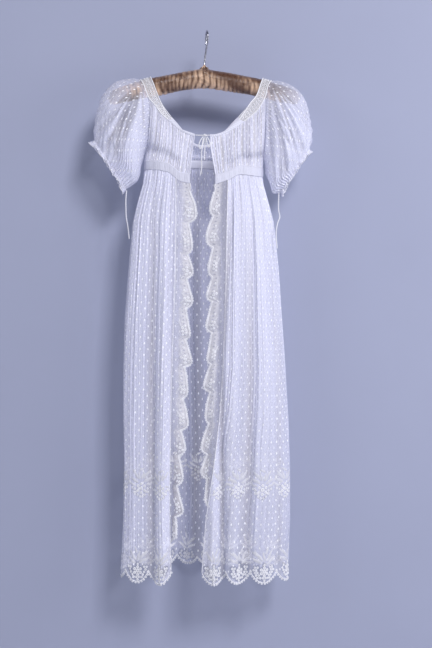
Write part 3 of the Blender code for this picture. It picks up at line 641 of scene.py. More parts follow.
def band(name, upper, lower, columns, thick, puff, ripple, pitch, piping, finish=tape):
    """A flat tube between two edges: its two faces stand thick apart, closing round at the edges as
    (1 - v^10)^0.5; the outer face is fuller by puff * (1 - 0.8 v^2), rolls up by piping next to
    each edge, and ripples along its length."""
    top, low = even(upper, columns), even(lower, columns)
    v = np.r_[np.linspace(-1, 1, 17), np.linspace(1, -1, 6)[1:-1]][None]
    face = np.r_[np.ones(17), -np.ones(4)][None]
    middle = (top + low) / 2
    run = run_of(middle)[:, None]
    out = outward(np.stack([top, middle, low]))[1][:, None]
    wave = np.sin(TAU * run / pitch + 0.9 * np.sin(run * 90) + 0.8 * v) * 0.6
    wave = wave + 0.4 * np.sin(TAU * run / (0.43 * pitch) + 2 + 0.5 * np.sin(run * 150) - v)
    half = thick / 2 * np.sqrt(1 - np.minimum(np.abs(v), 1) ** 10)
    full = (puff + ripple * wave) * (1 - v**2 * 0.8) + piping * np.exp(-(((np.abs(v) - 0.9) / 0.06) ** 2))
    lift = face * half + np.where(face > 0, full, 0.3 * ripple * wave)
    grid = middle[:, None] - (top - low)[:, None] / 2 * v[..., None] + out * lift[..., None]
    tall = float(size_of(top - low).mean())
    return surface(name, grid, finish, points(np.r_[v[0] * tall / 2, -tall / 2][None], run), ring=True, ends=True)


for name, columns in (("front_left", 150), ("front_right", 150), ("back", 280)):
    edge = smooth_line(WAIST[name.split("_")[-1]], 300)
    piece = band("waistband_" + name + "_cloth", edge, edge - (0, 0, WAISTBAND), columns, thick=0.0011,
                 puff=0.0003, ripple=0.00045, pitch=0.0125, piping=0.0003, finish=band_cotton_shaded)
    settle(piece, "cotton_tape", "waistband_" + name)


# ---- Bodice ----
# Two short front panels and a back of the dotted muslin, gathered between the neck casing above and
# the waistband below. The front edges are turned under and hemmed.
STRAP = {
    "left": {
        "neck front": ((-70, -34.5, -190), (-80, -32, -180), (-90, -28, -162), (-99, -24, -141)),
        "arm front": ((-81, -34.3, -190), (-96, -32, -176), (-107, -29, -160), (-121, -25, -143)),
        "neck back": ((-75, 31, -172), (-89, 28, -154), (-101, 24, -133)),
        "arm back": ((-84, 32, -177), (-98, 31, -166), (-110, 28, -152), (-124, 25, -134)),
        "neck on pad": (-109, -117), "arm on pad": (-130, -139.5)},
    "right": {
        "neck front": ((66, -35, -190), (80, -31, -169), (90, -28, -154), (103, -24, -137)),
        "arm front": ((78, -35, -194), (91, -33, -184), (107, -30, -169), (122, -25, -143)),
        "neck back": ((66, 30, -173), (76, 28, -162), (93, 26, -144), (104, 24, -128)),
        "arm back": ((78, 31.4, -182), (92, 30, -174), (109, 28, -159), (124, 25, -134)),
        "neck on pad": (110, 117), "arm on pad": (127, 136)},
}
NECK = {
    "left": ((-70, -34.5, -190), (-55, -39.5, -208), (-40, -42.5, -215), (-24, -45, -221)),
    "right": ((66, -35, -190), (53, -38.5, -202), (36, -42, -215), (18, -44.3, -221.5), (7, -45, -222)),
    "back": ((-75, 31, -172), (-58, 34, -191), (-41, 36, -213), (-25, 37, -228), (-9, 37, -231),
             (7, 37, -228), (23, 36, -216), (41, 34, -198), (58, 31, -180), (66, 30, -173)),
}
UNDER_NECK = {
    "left": ((-81, -34.3, -190), (-69, -37.5, -201), (-58, -40, -211), (-42, -42.7, -220), (-24, -45.2, -227)),
    "right": ((78, -35, -194), (61, -39, -207), (41, -42, -219), (21, -44.3, -226.5), (7.5, -45.2, -227.5)),
    "back": ((-84, 32, -177), (-65, 34.3, -200), (-43, 36.3, -223), (-25, 37, -234), (-9, 37.2, -237),
             (7, 37, -235), (26, 36.2, -224), (45, 34.5, -208), (62, 32.5, -192), (78, 31.4, -182)),
}
ARM = {
    "left": {
        "front": ((-121, -25, -143), (-118, -27, -168), (-119, -26, -199), (-121, -18, -229), (-126, 0, -247)),
        "back": ((-124, 25, -134), (-122, 27, -158), (-122, 26, -190), (-124, 18, -224), (-126, 0, -247))},
    "right": {
        "front": ((122, -25, -143), (122, -28, -179), (121, -26, -214), (120, -18, -244), (120, 0, -262)),
        "back": ((124, 25, -134), (124, 28, -169), (123, 26, -205), (122, 18, -238), (120, 0, -262))},
}
FRONT_EDGE = {"left": ((-24, -45.2, -227), (-28, -46, -254), (-34, -44.5, -304)),
              "right": ((7.5, -45.2, -227.5), (9, -46, -254), (18, -45, -306))}


def patch(top, bottom, left, right):
    """A Coons patch: the blend of its left and right edges, plus the blend of its top and bottom,
    less the blend of its corners."""
    u = np.linspace(0, 1, len(top))[None, :, None]
    v = np.linspace(0, 1, len(left))[:, None, None]
    corners = (1 - u) * (1 - v) * top[0] + u * (1 - v) * top[-1] + (1 - u) * v * bottom[0] + u * v * bottom[-1]
    return left[:, None] * (1 - u) + right[:, None] * u + top[None] * (1 - v) + bottom[None] * v - corners


def bodice_panel(name, top, bottom, left, right, columns, rows, count, seed, close):
    """A gathered panel within its four edges. close is how dense its cloth is beyond the gathers."""
    grid = patch(smooth_line(top, columns), smooth_line(bottom, columns),
                 smooth_line(left, rows), smooth_line(right, rows))
    part = np.linspace(0, 1, columns)[None]
    v = np.linspace(0, 1, rows)[:, None]
    from_seam = np.minimum(v, 1 - v)
    tall = size_of(np.diff(grid, axis=0)).sum(0)[None]
    fan = part + 0.012 * np.sin(np.pi * v) * np.sin(TAU * part * 1.5)
    wave = gathers(fan, from_seam * tall * 0.5, count, seed, depth=0.00125)
    rng = np.random.default_rng(seed)
    sag = 0.0009 * np.sin(TAU * (3.3 * part + 0.35 * v) + rng.uniform(0, 6)) * np.sin(np.pi * v)
    hold = np.minimum(1, from_seam / 0.05) * 0.75 + 0.25
    front = name != "bodice_back"
    edges = np.minimum(1, part / 0.02) * (1 if front else np.minimum(1, (1 - part) / 0.02))
    out = outward(grid)
    grid = grid + out * (((wave + sag) * hold - 0.0002) * edges)[..., None]
    step = size_of(np.diff(grid, axis=1))
    flat = float(step.sum(1).mean()) * 1.35
    step = np.concatenate([step, step[:, -1:]], axis=1)
    packed = np.clip(flat / (columns - 1) / step, 1.0, 2.6) * close
    # Painted shade: colour darkened in the troughs of the gathers, and a little over the whole of each front.
    valley = np.clip(-wave / 0.0011, 0, 1)
    piece = surface(name + "_cloth", grid, muslin, points(part * flat, -v * tall),
                    packed=packed, valley=0.16 + 0.84 * valley if front else 0.55 * valley)
    settle(piece, "dotted_muslin", name)
    return grid, out


for side, seed in (("left", 4), ("right", 5)):
    grid, out = bodice_panel("bodice_front_" + side, STRAP[side]["arm front"][:0:-1] + UNDER_NECK[side], WAIST[side],
                             ARM[side]["front"] + WAIST[side][:1], FRONT_EDGE[side],
                             columns=220, rows=64, count=23, seed=seed, close=2.1)
    # The narrow hem down the front edge.
    outer, inner = (grid[:, k] + out[:, k] * 0.0003 for k in (-1, -6))
    settle(band("bodice_front_hem_" + side, outer, inner, 60, thick=0.0008, puff=0.0002, ripple=0.0002,
                pitch=0.006, piping=0.0001), "cotton_tape")
bodice_panel("bodice_back", STRAP["left"]["arm back"][:0:-1] + UNDER_NECK["back"] + STRAP["right"]["arm back"][1:],
             WAIST["back"], ARM["left"]["back"] + WAIST["left"][:1], ARM["right"]["back"] + WAIST["right"][:1],
             columns=350, rows=60, count=40, seed=6, close=0.75)


# ---- Neck casing ----
# A narrow bias casing round the neckline. The drawstring inside it pulls it into fine ripples, and
# it is widest where it runs up to the shoulders.
for name, columns in (("left", 150), ("right", 150), ("back", 330)):
    upper, under = smooth_line(NECK[name], 300), smooth_line(UNDER_NECK[name], 300)
    piece = band("neck_binding_" + name + "_casing", upper, under, columns, thick=0.0012, puff=0.0007,
                 ripple=0.00045, pitch=0.0044, piping=0.0004)
    settle(piece, "cotton_tape", "neck_binding_" + name)


# ---- Shoulder lace ----
# A strip of cotton net over each shoulder, from the front neckline to the back, worked with two
# staggered lines of buttonholed eyelets and edged on both sides with a corded line.
# In metres: how far apart the eyelets are, their holes' and rims' radius, how far each line is aside.
EYELET_PITCH, EYELET_HOLE, EYELET_RIM, EYELET_ASIDE = 0.0074, 0.0013, 0.0025, 0.0028


def net_lace(name, eyelets):
    """Lace ground, a mesh of threads 1.4 mm apart: with open eyelets in two staggered lines, or else
    with a line of open dots and closer towards its outer edge."""
    finish = Finish(name, Roughness=0.9)
    across, along, place = finish.cut()
    mesh = threads(across, along, 0.0014)
    slub = finish.noise(place, 300.0, 3.0)
    cover = finish.ease(mesh, 0.15, 0.7, 0.9, 0.42) + (slub - 0.5) * 0.2
    shade = finish.blend(slub, (0.64, 0.625, 0.645), (0.79, 0.78, 0.80))

    def from_hole(pitch, shift, x):
        y = ((along / pitch + shift).fraction() - 0.5) * pitch
        return (x * x + y * y).root()

    if eyelets:
        gap = from_hole(EYELET_PITCH, 0.0, across - EYELET_ASIDE).least(
            from_hole(EYELET_PITCH, 0.5, across + EYELET_ASIDE))
        cover = cover * finish.ease(gap, EYELET_HOLE * 0.85, EYELET_HOLE * 1.1)
    else:
        part = finish.attribute("to_edge")
        cover = cover * finish.ease(from_hole(0.0078, 0.0, (part - 0.72) * 0.022), 0.0009, 0.0022, 0.45)
        cover = cover * finish.ease(part, 0.25, 0.7, 0.34, 1.1)
        # Painted shade: the worked net is darkened towards a deep grey by the valley number, low down beside its seam
        # where the fold in front of it shades it.
        shade = finish.blend(finish.attribute("valley"), shade, (0.30, 0.28, 0.285))
    finish.send(shade, "Base Color")
    show_cover(finish, cover.least(1.0).most(0.0))
    finish.relief(mesh * -0.5 + slub * 0.5, 0.0003)
    return finish


eyelet_net = net_lace("eyelet_net", True)
thread = Finish("white_work_thread", Roughness=0.75)
across, along, place = thread.cut()
stitch = (along * 9000.0).sine() * 0.5 + 0.5
fleck = thread.noise(place, 800.0)
thread.send(1.0 - thread.attribute("sheer"), "Alpha")
thread.paint(fleck * 0.5 + stitch * 0.5, (0.82, 0.82, 0.85), (0.95, 0.95, 0.97))
thread.relief(stitch + fleck * 0.4, 0.00013)


def strap_edge(side, edge):
    """An edge of the strap from front to back: over the pad it stands 1.6 mm off the pad's own
    section, which it crosses further out at the top."""
    low, top = STRAP[side][edge + " on pad"]
    angle = np.radians(np.arange(10, 180, 20))
    over = on_pad((low + (top - low) * np.sin(angle)) / 1000, angle, 0.0016) * 1000
    return STRAP[side][edge + " front"] + tuple(map(tuple, over)) + STRAP[side][edge + " back"][::-1]


def corded(name, path, radius, pitch, slot="cotton_lace"):
    """A line of satin stitches over a cord: a tube whose radius swells at each stitch."""
    run = run_of(path)[:, None]
    swell = radius * (1 + 0.16 * np.sin(TAU * run / pitch + 0.5 * np.sin(run * 300)))
    swell[[0, -1]] *= 0.4
    cut = points(np.linspace(0, 6.3 * radius, 8)[None], run)
    settle(surface(name, tube(path, lambda angle: swell, 7), thread, cut, ring=True, ends=True), slot)


class Whitework:
    """Raised stitchery gathered up into one mesh: each shape is a small grid laid on cloth."""

    def __init__(self):
        self.shapes, self.count = [], 0

    def add(self, grid, cut, out, sheer=0.0):
        """A shape whose faces are turned to look outwards, with its place on the flat cloth."""
        rows, columns = grid.shape[:2]
        cells = quads(rows, columns - 1, columns)
        k = columns // 2
        if np.cross(grid[0, k + 1] - grid[0, k - 1], grid[1, k] - grid[0, k]).dot(out) < 0:
            cells = cells[:, ::-1]
        on_cut = cut.reshape(-1, 2)[cells].reshape(-1, 2)
        self.shapes.append((grid.reshape(-1, 3), cells + self.count, on_cut, np.full((rows * columns, 1), sheer)))
        self.count += rows * columns

    def ring(self, shape, centre, across, up, out):
        """A ring laid flat at a place, by the three ways that it faces."""
        grid, cut = shape[:2]
        self.add(centre + grid[..., :1] * across + grid[..., 1:2] * up + grid[..., 2:] * out, cut, out)

    def sew(self, name):
        places, faces, on_cut, sheer = map(np.vstack, zip(*self.shapes))
        settle(made(name, places, faces.tolist(), on_cut, thread, {"sheer": sheer}), "cotton_lace")


RING_TURN = np.append(np.linspace(0, TAU, 10, endpoint=False), TAU)[:, None]
RING_TUBE = np.radians((-25, 35, 90, 145, 205))[None]


def eyelet_ring(outer, tube_size, height):
    """A low ring: across = (R + r cos b) cos a, up = (R + r cos b) sin a, off = h (0.35 + sin b)."""
    r = outer - tube_size + tube_size * np.cos(RING_TUBE)
    grid = points(r * np.cos(RING_TURN), r * np.sin(RING_TURN), height * (0.35 + np.sin(RING_TUBE)))
    return grid, points(RING_TUBE * tube_size, RING_TURN * outer)


eyelet = eyelet_ring(EYELET_RIM, 0.0007, 0.0005)
for side in ("left", "right"):
    name = "shoulder_lace_" + side
    rows = 190
    neck, arm = (smooth_line(strap_edge(side, edge), rows) for edge in ("neck", "arm"))
    middle = (neck + arm) / 2
    part = np.linspace(0, 1, 17)[None]
    away = unit(np.cross(np.gradient(middle, axis=0), arm - neck))
    away = away * np.sign(away[rows // 2, 2])
    run = run_of(middle)
    wide = size_of(arm - neck)
    pucker = 0.0004 * np.sin(run * 700)[:, None] * np.sin(np.pi * part)
    grid = neck[:, None] * (1 - part[..., None]) + arm[:, None] * part[..., None] + away[:, None] * pucker[..., None]
    strap = surface(name + "_net", grid, eyelet_net, points((part - 0.5) * wide[:, None], run[:, None]))
    settle(strap, "cotton_lace", name)
    for edge, line, inward in (("neck", neck, unit(arm - neck)), ("arm", arm, unit(neck - arm))):
        corded(name + "_" + edge + "_cord", line + inward * 0.0011 + away * 0.0006, 0.0011, 0.0018)
    rings = Whitework()
    for shift, off in ((0.5, EYELET_ASIDE), (0.0, -EYELET_ASIDE)):
        for at in (np.arange(1, int(run[-1] / EYELET_PITCH)) + shift) * EYELET_PITCH:
            if at > run[-1] - 0.004:
                continue
            centre, k = place_on(middle, run, at)
            aside = unit(arm[k] - neck[k])
            rings.ring(eyelet, centre + aside * off + away[k] * 0.0004, aside, unit(np.cross(away[k], aside)), away[k])
    rings.sew(name + "_eyelets")


# ---- Sleeves ----
# Short puffed sleeves of the dotted muslin, pleated into the armhole and drawn in again above the
# elbow by a string in a casing, below which the cloth stands out as a small frill. The padded ends
# of the hanger fill their tops.
# Beyond the armhole each ring has: upper point across and up, lower point across and up, half depth.
SLEEVE = {
    "left": ((-161, -99, -134, -257, 42), (-193, -107, -138, -270, 51), (-218, -133, -142, -284, 53),
             (-231, -172, -146, -299, 47), (-237, -203, -151, -314, 36), (-237, -226, -168, -330, 26),
             (-245, -235, -175, -341, 31)),
    "right": ((160, -106, 125, -271, 42), (188, -120, 128, -287, 51), (208, -147, 132, -304, 53),
              (217, -187, 135, -322, 47), (220, -216, 139, -336, 36), (217, -243, 154, -337, 26),
              (221, -252, 160, -345, 30)),
}
CUFF_RING = 6
# How strong each kind of fold is at each ring, mm: armhole pleats, long folds, cuff gathers.
SLEEVE_PLEATS = (0.6, 0.4, 0.2, 0.1, 0.1, 0.1, 0.2, 0.2)
SLEEVE_FOLDS = (0.1, 0.9, 1.9, 2.4, 2.4, 1.8, 0.4, 1.0)
SLEEVE_CUFF = (0.0, 0.0, 0.1, 0.3, 0.8, 1.5, 1.6, 1.4)
# The folds fan out from this place at the shoulder. Main creases and ridges: degrees from
# straight down at the shoulder, at 80 mm and at the end, then its length, depth and half width in
# mm, and how deep its shade is.
SLEEVE_SHOULDER = {"left": (-0.138, -0.114), "right": (0.133, -0.109)}
# The last number of each crease, how deep its shade is, darkens its colour as painted shade.
SLEEVE_CREASES = {
    "left": ((14, 15, 17, 135, -4.0, 3.8, 1.3), (23, 23, 18, 170, -5.2, 5.6, 1.3), (33, 27, 28, 170, -3.0, 3.8, 1.1),
             (8, 10, 11, 80, -2.0, 2.6, 1.2), (28, 19, 14, 110, -1.8, 2.8, 1.2), (40, 36, 35, 110, -2.0, 3.0, 0.9),
             (48, 45, 42, 90, -1.6, 2.6, 0.6), (-8, -5, -2, 100, -2.0, 2.8, 0.7), (2, 4, 4, 215, 5.5, 14, 0),
             (19, 19, 22, 160, 2.8, 4.5, 0), (30, 31, 33, 175, 3.2, 6.5, 0), (10, 12, 17, 200, -2.2, 3.4, 0.6),
             (24, 23, 30, 215, -2.2, 4.0, 0.5), (45, 40, 38, 175, -1.8, 5.0, 0.4)),
    "right": ((-1, -3, 3, 215, -3.2, 3.6, 0.8), (27, 21, 19, 165, -2.8, 3.2, 0.9), (2, 7, 18, 155, -1.8, 3.0, 0.5),
              (9, 13, 24, 140, -1.4, 2.6, 0.45), (38, 32, 30, 75, -1.6, 2.4, 0.7), (47, 42, 40, 80, -1.3, 2.4, 0.5),
              (-14, -11, -8, 120, -1.3, 2.4, 0.3), (-8, -8, -3, 220, 5.0, 11, 0), (13, 14, 12, 190, 3.4, 10, 0),
              (30, 30, 33, 170, 2.2, 9, 0), (8, 8, 10, 215, -2.2, 5.0, 0.45)),
}


def ramp(value, low, high):
    """0 up to low, 1 from high on, and a straight line between them."""
    return np.clip((value - low) / (high - low), 0, 1)


def rings_of(side, columns):
    """The armhole as a ring of points (shoulder, front, underarm, back), and the rings beyond it."""
    edge = strap_edge(side, "arm")
    armhole = edge[8:3:-1] + ARM[side]["front"] + ARM[side]["back"][-2::-1] + edge[-5:7:-1]
    rings = [smooth_line(armhole, columns + 1)[:-1] + (-0.0012 if side == "left" else 0.0012, 0, 0)]
    a = np.linspace(0, TAU, 481)[:, None]
    for top_x, top_z, low_x, low_z, deep in SLEEVE[side]:
        centre = np.array([(top_x + low_x) / 2, 0, (top_z + low_z) / 2]) / 1000
        up = np.array([(top_x - low_x) / 2, 0, (top_z - low_z) / 2]) / 1000
        rings.append(even(centre + np.cos(a) * up + np.sin(a) * (0, -deep / 1000, 0), columns + 1)[:-1])
    return np.stack(rings)


def closed(grid):
    return np.concatenate([grid, grid[:, :1]], axis=1)


def sleeve_form(side, columns, steps):
    """The sleeve before its folds: rings blended by cubics in the ring number t."""
    rings = rings_of(side, columns)
    p = np.concatenate([2 * rings[:1] - rings[1:2], rings, 2 * rings[-1:] - rings[-2:-1]])
    t = np.linspace(0, 7, steps)
    k = np.minimum(t.astype(int), 6)
    grid = cubic(p[k], p[k + 1], p[k + 2], p[k + 3], (t - k)[:, None, None])
    part = np.linspace(0, 1, columns, endpoint=False)[None]
    t = t[:, None]
    # The frill below the casing stands out at the two ends of the cuff and lies close between them.
    casing = rings[CUFF_RING][None]
    close = 0.45 + 0.55 * np.abs(np.cos(TAU * part)) ** 6 + 0.12 * np.sin(TAU * 7 * part)
    close = 1 - (1 - close) * ramp(t, CUFF_RING, CUFF_RING + 0.3)
    return np.where(t[..., None] > CUFF_RING, casing + (grid - casing) * close[..., None], grid), part, t


def sleeve(side, seed, columns=350, steps=106):
    """One sleeve: its form pushed off its own surface by the folds."""
    rng = np.random.default_rng(seed)
    grid, part, t = sleeve_form(side, columns, steps)
    away = normals(grid, ring=True)
    away = away * np.sign(np.sum(away * (grid - grid.mean(1, keepdims=True))))
    # Distance from the shoulder, and angle outwards from straight down.
    aside = (grid[..., 0] - SLEEVE_SHOULDER[side][0]) * (-1 if side == "left" else 1)
    below = SLEEVE_SHOULDER[side][1] - grid[..., 2]
    reach, turn = np.hypot(aside, below), np.arctan2(aside, below)
    behind = ramp(grid[..., 1], 0, 0.02)

    def phase():
        return rng.uniform(0, 6)

    def uneven(wave, loud, where):
        """Rounded ridges and troughs, louder in some places than in others."""
        return np.sign(wave) * np.abs(wave) ** 0.8 * (1 - loud + loud * np.sin(where))

    def ripple(turns, lean, loud):
        """Uneven waves round the sleeve, turns of them, that lean as they run down it."""
        warp = part - 0.135 * ramp(t, 0, 4.5) * np.sin(TAU * part)
        warp = warp + 0.09 * np.clip(1 - t / 5, 0, 1) * np.sin(TAU * (part - 0.12))
        warp = warp + lean * np.sin(t * 0.7 + phase()) + 0.3 / turns * np.sin(
            TAU * (part * rng.integers(3, 6)) + phase() + 0.4 * t)
        return uneven(np.cos(TAU * turns * warp), loud,
                      TAU * part * rng.integers(2, 5) + phase() + 0.5 * t)

    def fan(folds, sway, loud):
        """Uneven waves by the angle from the shoulder, folds of them to a radian."""
        warp = turn + sway * np.sin(5.3 * turn + phase() + 13 * reach)
        warp = warp + 0.3 / folds * np.sin(9 * turn + phase())
        return uneven(np.cos(TAU * folds * warp + 2.2 * behind + phase()), loud,
                      4.3 * turn + 21 * reach + phase())

    pleats, folds, cuff = (np.interp(t, range(8), table) / 1000
                           for table in (SLEEVE_PLEATS, SLEEVE_FOLDS, SLEEVE_CUFF))
    wave = pleats * ripple(44, 0.004, 0.25) + cuff * ripple(30, 0.005, 0.3)
    folds = folds * ramp(reach, 0.03, 0.08) * (1 - 0.7 * ramp(turn, 0.70, 1.05))
    wave = wave + folds * (fan(4.5, 0.05, 0.5) + 0.65 * fan(10.5, 0.02, 0.5))
    wave = wave + 0.36 * folds * fan(21, 0.01, 0.6) * ramp(reach, 0.05, 0.15)
    flute = np.cos(TAU * 17 * part + 2 * np.sin(6 * np.pi * part)) * (0.7 + 0.3 * np.sin(10 * np.pi * part + 1))
    wave = wave + 0.0038 * ramp(t, CUFF_RING, CUFF_RING + 1) ** 1.5 * flute
    # shade is painted shade: how far each crease's colour is darkened.
    shade, crown = 0 * wave, 0 * wave
    for first, middle, last, long, depth, width, dark in SLEEVE_CREASES[side]:
        at = np.radians(np.interp(reach, (0.01, 0.08, long / 1000), (first, middle, last))) + 0.13 * behind
        off = (turn - at) * reach * 1000 / width
        fade = np.clip((long / 1000 - reach) / 0.03, 0, 1) * ramp(reach, 0, 0.02)
        fade = fade * ramp(t, 0, 0.4) * np.clip((6.2 - t) / 1.2, 0, 1)
        bell = fade * np.exp(-off**2)
        wave = wave + depth / 1000 * bell
        shade = np.maximum(shade, np.minimum(dark * fade * np.exp(-((off / 0.65) ** 2)), 1))
        crown = np.maximum(crown, (depth > 0) * bell)
    # Where it lies over the hanger's pad the cloth only stands outwards.
    over = ramp(grid[..., 2], -0.150, -0.130) * np.clip(1.4 - t / 2.2, 0, 1)
    wave = wave * (1 - over) + over * (0.0008 + 0.5 * np.abs(wave) + 0.25 * wave)
    # The casing of the cuff is drawn in a little further than the rings say.
    wave = wave - 0.0012 * np.exp(-((t - CUFF_RING) / 0.16) ** 2)
    grid = grid + away * wave[..., None]
    around = size_of(np.diff(closed(grid), axis=1))
    flat = float(around.sum(1).max()) * 1.06
    fall = np.concatenate([np.zeros((1, columns)), np.cumsum(size_of(np.diff(grid, axis=0)), axis=0)])
    packed = np.clip(flat / columns / around, 1.0, 2.0) * np.interp(t, (0, 3, 6, 6.3), (0.95, 1.45, 1.6, 0.9))
    packed = packed * (1 - 0.56 * over) * (1 - 0.5 * shade) * (1 + 0.2 * crown)
    packed = packed * (1 + 0.25 * np.clip(wave / 0.002, -1.2, 1.5))
    packed = packed + 0.15 * np.clip(np.gradient(wave, axis=1) / around, -1, 1) ** 2
    cut = points(np.linspace(0, flat, columns + 1)[None], -closed(fall))
    # Painted shade: colour darkened along the creases and in the troughs of the folds.
    piece = surface("sleeve_" + side + "_cloth", grid, muslin, cut, ring=True,
                    packed=packed, valley=np.maximum(shade, np.clip(-wave / 0.0055, 0, 0.75)))
    settle(piece, "dotted_muslin", "sleeve_" + side)
    # A fine rolled hem round the frill.
    corded("sleeve_" + side + "_hem", closed(grid[-1:])[0], 0.00045, 0.002, "dotted_muslin")


sleeve("left", 31)
sleeve("right", 47)


# ---- Front lace edgings ----
# A strip of net worked in white down each front edge, from the waistband to the hem. Its outer edge
# is cut in slow scallops that step back sharply, each with a bound edge, a ring flower and leaves.
# In metres: how far apart the scallops are, how far they stand out, and the height of the first.
LACE_PITCH, LACE_LOBE = 0.0605, 0.0115
LACE_FIRST = {"left": -0.341, "right": -0.330}
# Below these heights the strip is turned back behind the fold beside it.
LACE_TURN = {"left": (-1.045, -1.09), "right": (-0.975, -1.01)}
lace_net = net_lace("worked_net", False)


def lace_edging(side, seam_column, edge_column, way):
    """A strip from its seam to its edge. With a phase that runs from 0 to 1 down each scallop, the
    edge stands out by phase^0.8 (1 - phase^11) and flutters forwards by cos(phase^1.3 - 0.6)."""
    rows, columns = 620, 22
    part = np.linspace(0, 1, columns)[None]
    top = even(LACE_TOP[side], columns)
    seam_x, edge_x = skirt_size(HEM_FRONT[0], seam_column), skirt_size(HEM_FRONT[0], edge_column)
    bottom = HEM_FRONT[0] - hem_drop(seam_x + (edge_x - seam_x) * part[0], HEM_FRONT)
    t = np.linspace(0, 1, rows)[:, None]
    z = top[None, :, 2] * (1 - t) + bottom[None] * t
    turns = (LACE_FIRST[side] - z) / LACE_PITCH
    turns = turns + 0.07 * np.sin(2.1 * turns + way) + 0.04 * np.sin(5.3 * turns)
    phase = turns % 1
    uneven = 1 + 0.24 * np.sin(2.6 * np.floor(turns) + 1.3 * way) - (0.14 if side == "right" else 0)
    turned = 1 - ramp(z, LACE_TURN[side][1], LACE_TURN[side][0])
    from_top = np.minimum(1, t / 0.05)
    lobe = way * LACE_LOBE * 1.5 * uneven * phase**0.8 * (1 - phase**11) * from_top * (1 - 2 * turned)
    seam, edge = skirt_size(z, seam_column), skirt_size(z, edge_column) + lobe
    grid = sewn(section_points(z, seam * (1 - part) + edge * part, False), top, t)
    flutter = 0.0030 * np.cos(TAU * (phase**1.3 - 0.6)) * part**1.5
    flutter = flutter + 0.0007 * np.sin(TAU * z / 0.017 + 4 * part) * part
    grid[..., 1] -= flutter * from_top * (1 - turned) - 0.011 * turned * part**0.6
    name = "front_lace_" + side
    # deep is painted shade: the lower part of the strip near its seam, most on the left, is darkened where the fold
    # beside it shades it.
    deep = np.clip((-0.80 - z) / 0.12, 0, 1) * np.clip(1.4 - 1.2 * part, 0, 1) * (1.0 if side == "left" else 0.4)
    piece = surface(name + "_net", grid, lace_net, points(part * np.abs(edge - seam), z),
                    to_edge=part + 0 * z, valley=deep)
    settle(piece, "cotton_lace", name)
    out = outward(grid)
    PANELS[name] = SimpleNamespace(piece=piece, grid=grid, out=out, t=t[:, 0], rows=rows, tail=0, holes=[])
    # Bound outer edge, and a corded line where the strip is sewn to the skirt.
    corded(name + "_bound_edge", even(grid[:, -1] + out[:, -1] * 0.0003, 900), 0.0010, 0.0022)
    corded(name + "_seam", even(grid[:, 0] + out[:, 0] * 0.0006, 500), 0.0007, 0.0026)


lace_edging("left", LEFT_SEAM, LEFT_EDGE, 1)
lace_edging("right", RIGHT_SEAM, RIGHT_EDGE, -1)


# ---- White work on the skirt and lace ----
# Padded satin-stitch leaves and buttonholed rings, worked in thick soft cotton: a border a hand's
# breadth above the hem, a fuller one in the scallops, and sprigs down both front edgings.
def on_cloth(panel, part, z, off):
    """Points on a panel: part of the way across, at heights z, standing off the cloth. Rows are
    found from the height, straight down the panel and then into its scallops."""
    grid, rows = panel.grid, panel.rows
    columns = np.arange(grid.shape[1])
    c = np.clip(part, 0, 1) * columns[-1]
    top, low = (np.interp(c, columns, grid[k, :, 2]) for k in (0, rows - 1))
    t = (top - z) / (top - low)
    r = np.interp(t, panel.t, np.arange(rows))
    if panel.tail:
        r = np.where(t > 1, rows - 1 + (low - z) / np.interp(c, columns, panel.drop) * panel.tail, r)
    return read(grid, r, c) + unit(read(panel.out, r, c)) * off[..., None]


def leaf(length, width, lean, x, y):
    """A padded leaf, 1 mm high: half width = w (1 - a^2)^0.7 and height = h (1 - b^2)^0.5 (1 - a^6),
    turned by its lean in degrees from straight up. With its place in the motif, in mm."""
    a = np.linspace(-1, 1, 9)[:, None]
    b = np.linspace(-1, 1, 6)[None]
    u = b * width / 2000 * (1 - a**2) ** 0.7 * (1 - 0.25 * a) + 0.0008 * np.sin(3 * a)
    v = a * length / 2000
    h = 0.0010 * np.sqrt(1 - b**2 * 0.999) * (1 - a**6) + 0.0001
    turn = np.radians(lean)
    shape = points(u * np.cos(turn) + v * np.sin(turn), -u * np.sin(turn) + v * np.cos(turn), h)
    return (shape, points(u, v), 0), x, y


# Buttonholed rings, by width and by the radius that is cut away in their middles.
BIG, MID, SMALL, BEAD = ((*eyelet_ring(size / 2, size * 0.21, 0.0007), gap) for size, gap in (
    (0.0092, 0.0012), (0.0072, 0.0009), (0.0058, 0.0008), (0.0050, 0.0008)))
# How far apart the border's flowers and the picots of each edge are, in metres.
BORDER_PITCH, HEM_PICOTS, EDGE_PICOTS = 0.066, 0.0061, 0.0048


def dotted(shape, *places):
    return [(shape, x, y) for x, y in places]


FLOWER = dotted(BIG, (0, 0)) + dotted(MID, *(
    (7.6 * np.sin(k), 7.6 * np.cos(k)) for k in np.radians((0, 60, 120, 180, 240, 300))))
BORDER = [(shape, x * 1.2, y * 1.2 - 2) for shape, x, y in FLOWER]
BORDER += [leaf(*row) for row in (
    (28, 7.0, 66, 18, 16), (26, 6.8, -70, -18, 15), (29, 7.0, 46, 15, 27), (27, 6.8, -42, -14, 27),
    (20, 5.8, 20, 5, 25), (18, 5.6, -18, -5, 24), (15, 5.2, 88, 20, 6), (14, 5.0, -84, -20, 5.5),
    (16, 5.0, 60, 2, 37), (17, 5.4, 60, 29, 9), (17, 5.4, -62, -29, 9), (14, 5.0, -35, 28, 21))]
BORDER += dotted(SMALL, (-12.5, -9), (12.5, -9), (-9, -15.5), (9, -15.5), (-3, -19), (3.2, -19),
                 (16.5, -3), (-16.5, -3.5), (-24, -1), (24, -0.5), (17, -9.5), (-17, -10))
HEM_LEAVES = [leaf(*row) for row in (
    (28, 6.8, 62, 16, 20), (28, 6.8, -60, -16, 20), (30, 6.8, 40, 13, 30), (29, 6.6, -37, -12, 30),
    (22, 5.8, 12, 2, 29), (18, 5.2, -30, -5, 41), (20, 5.4, 52, 20, 34))]
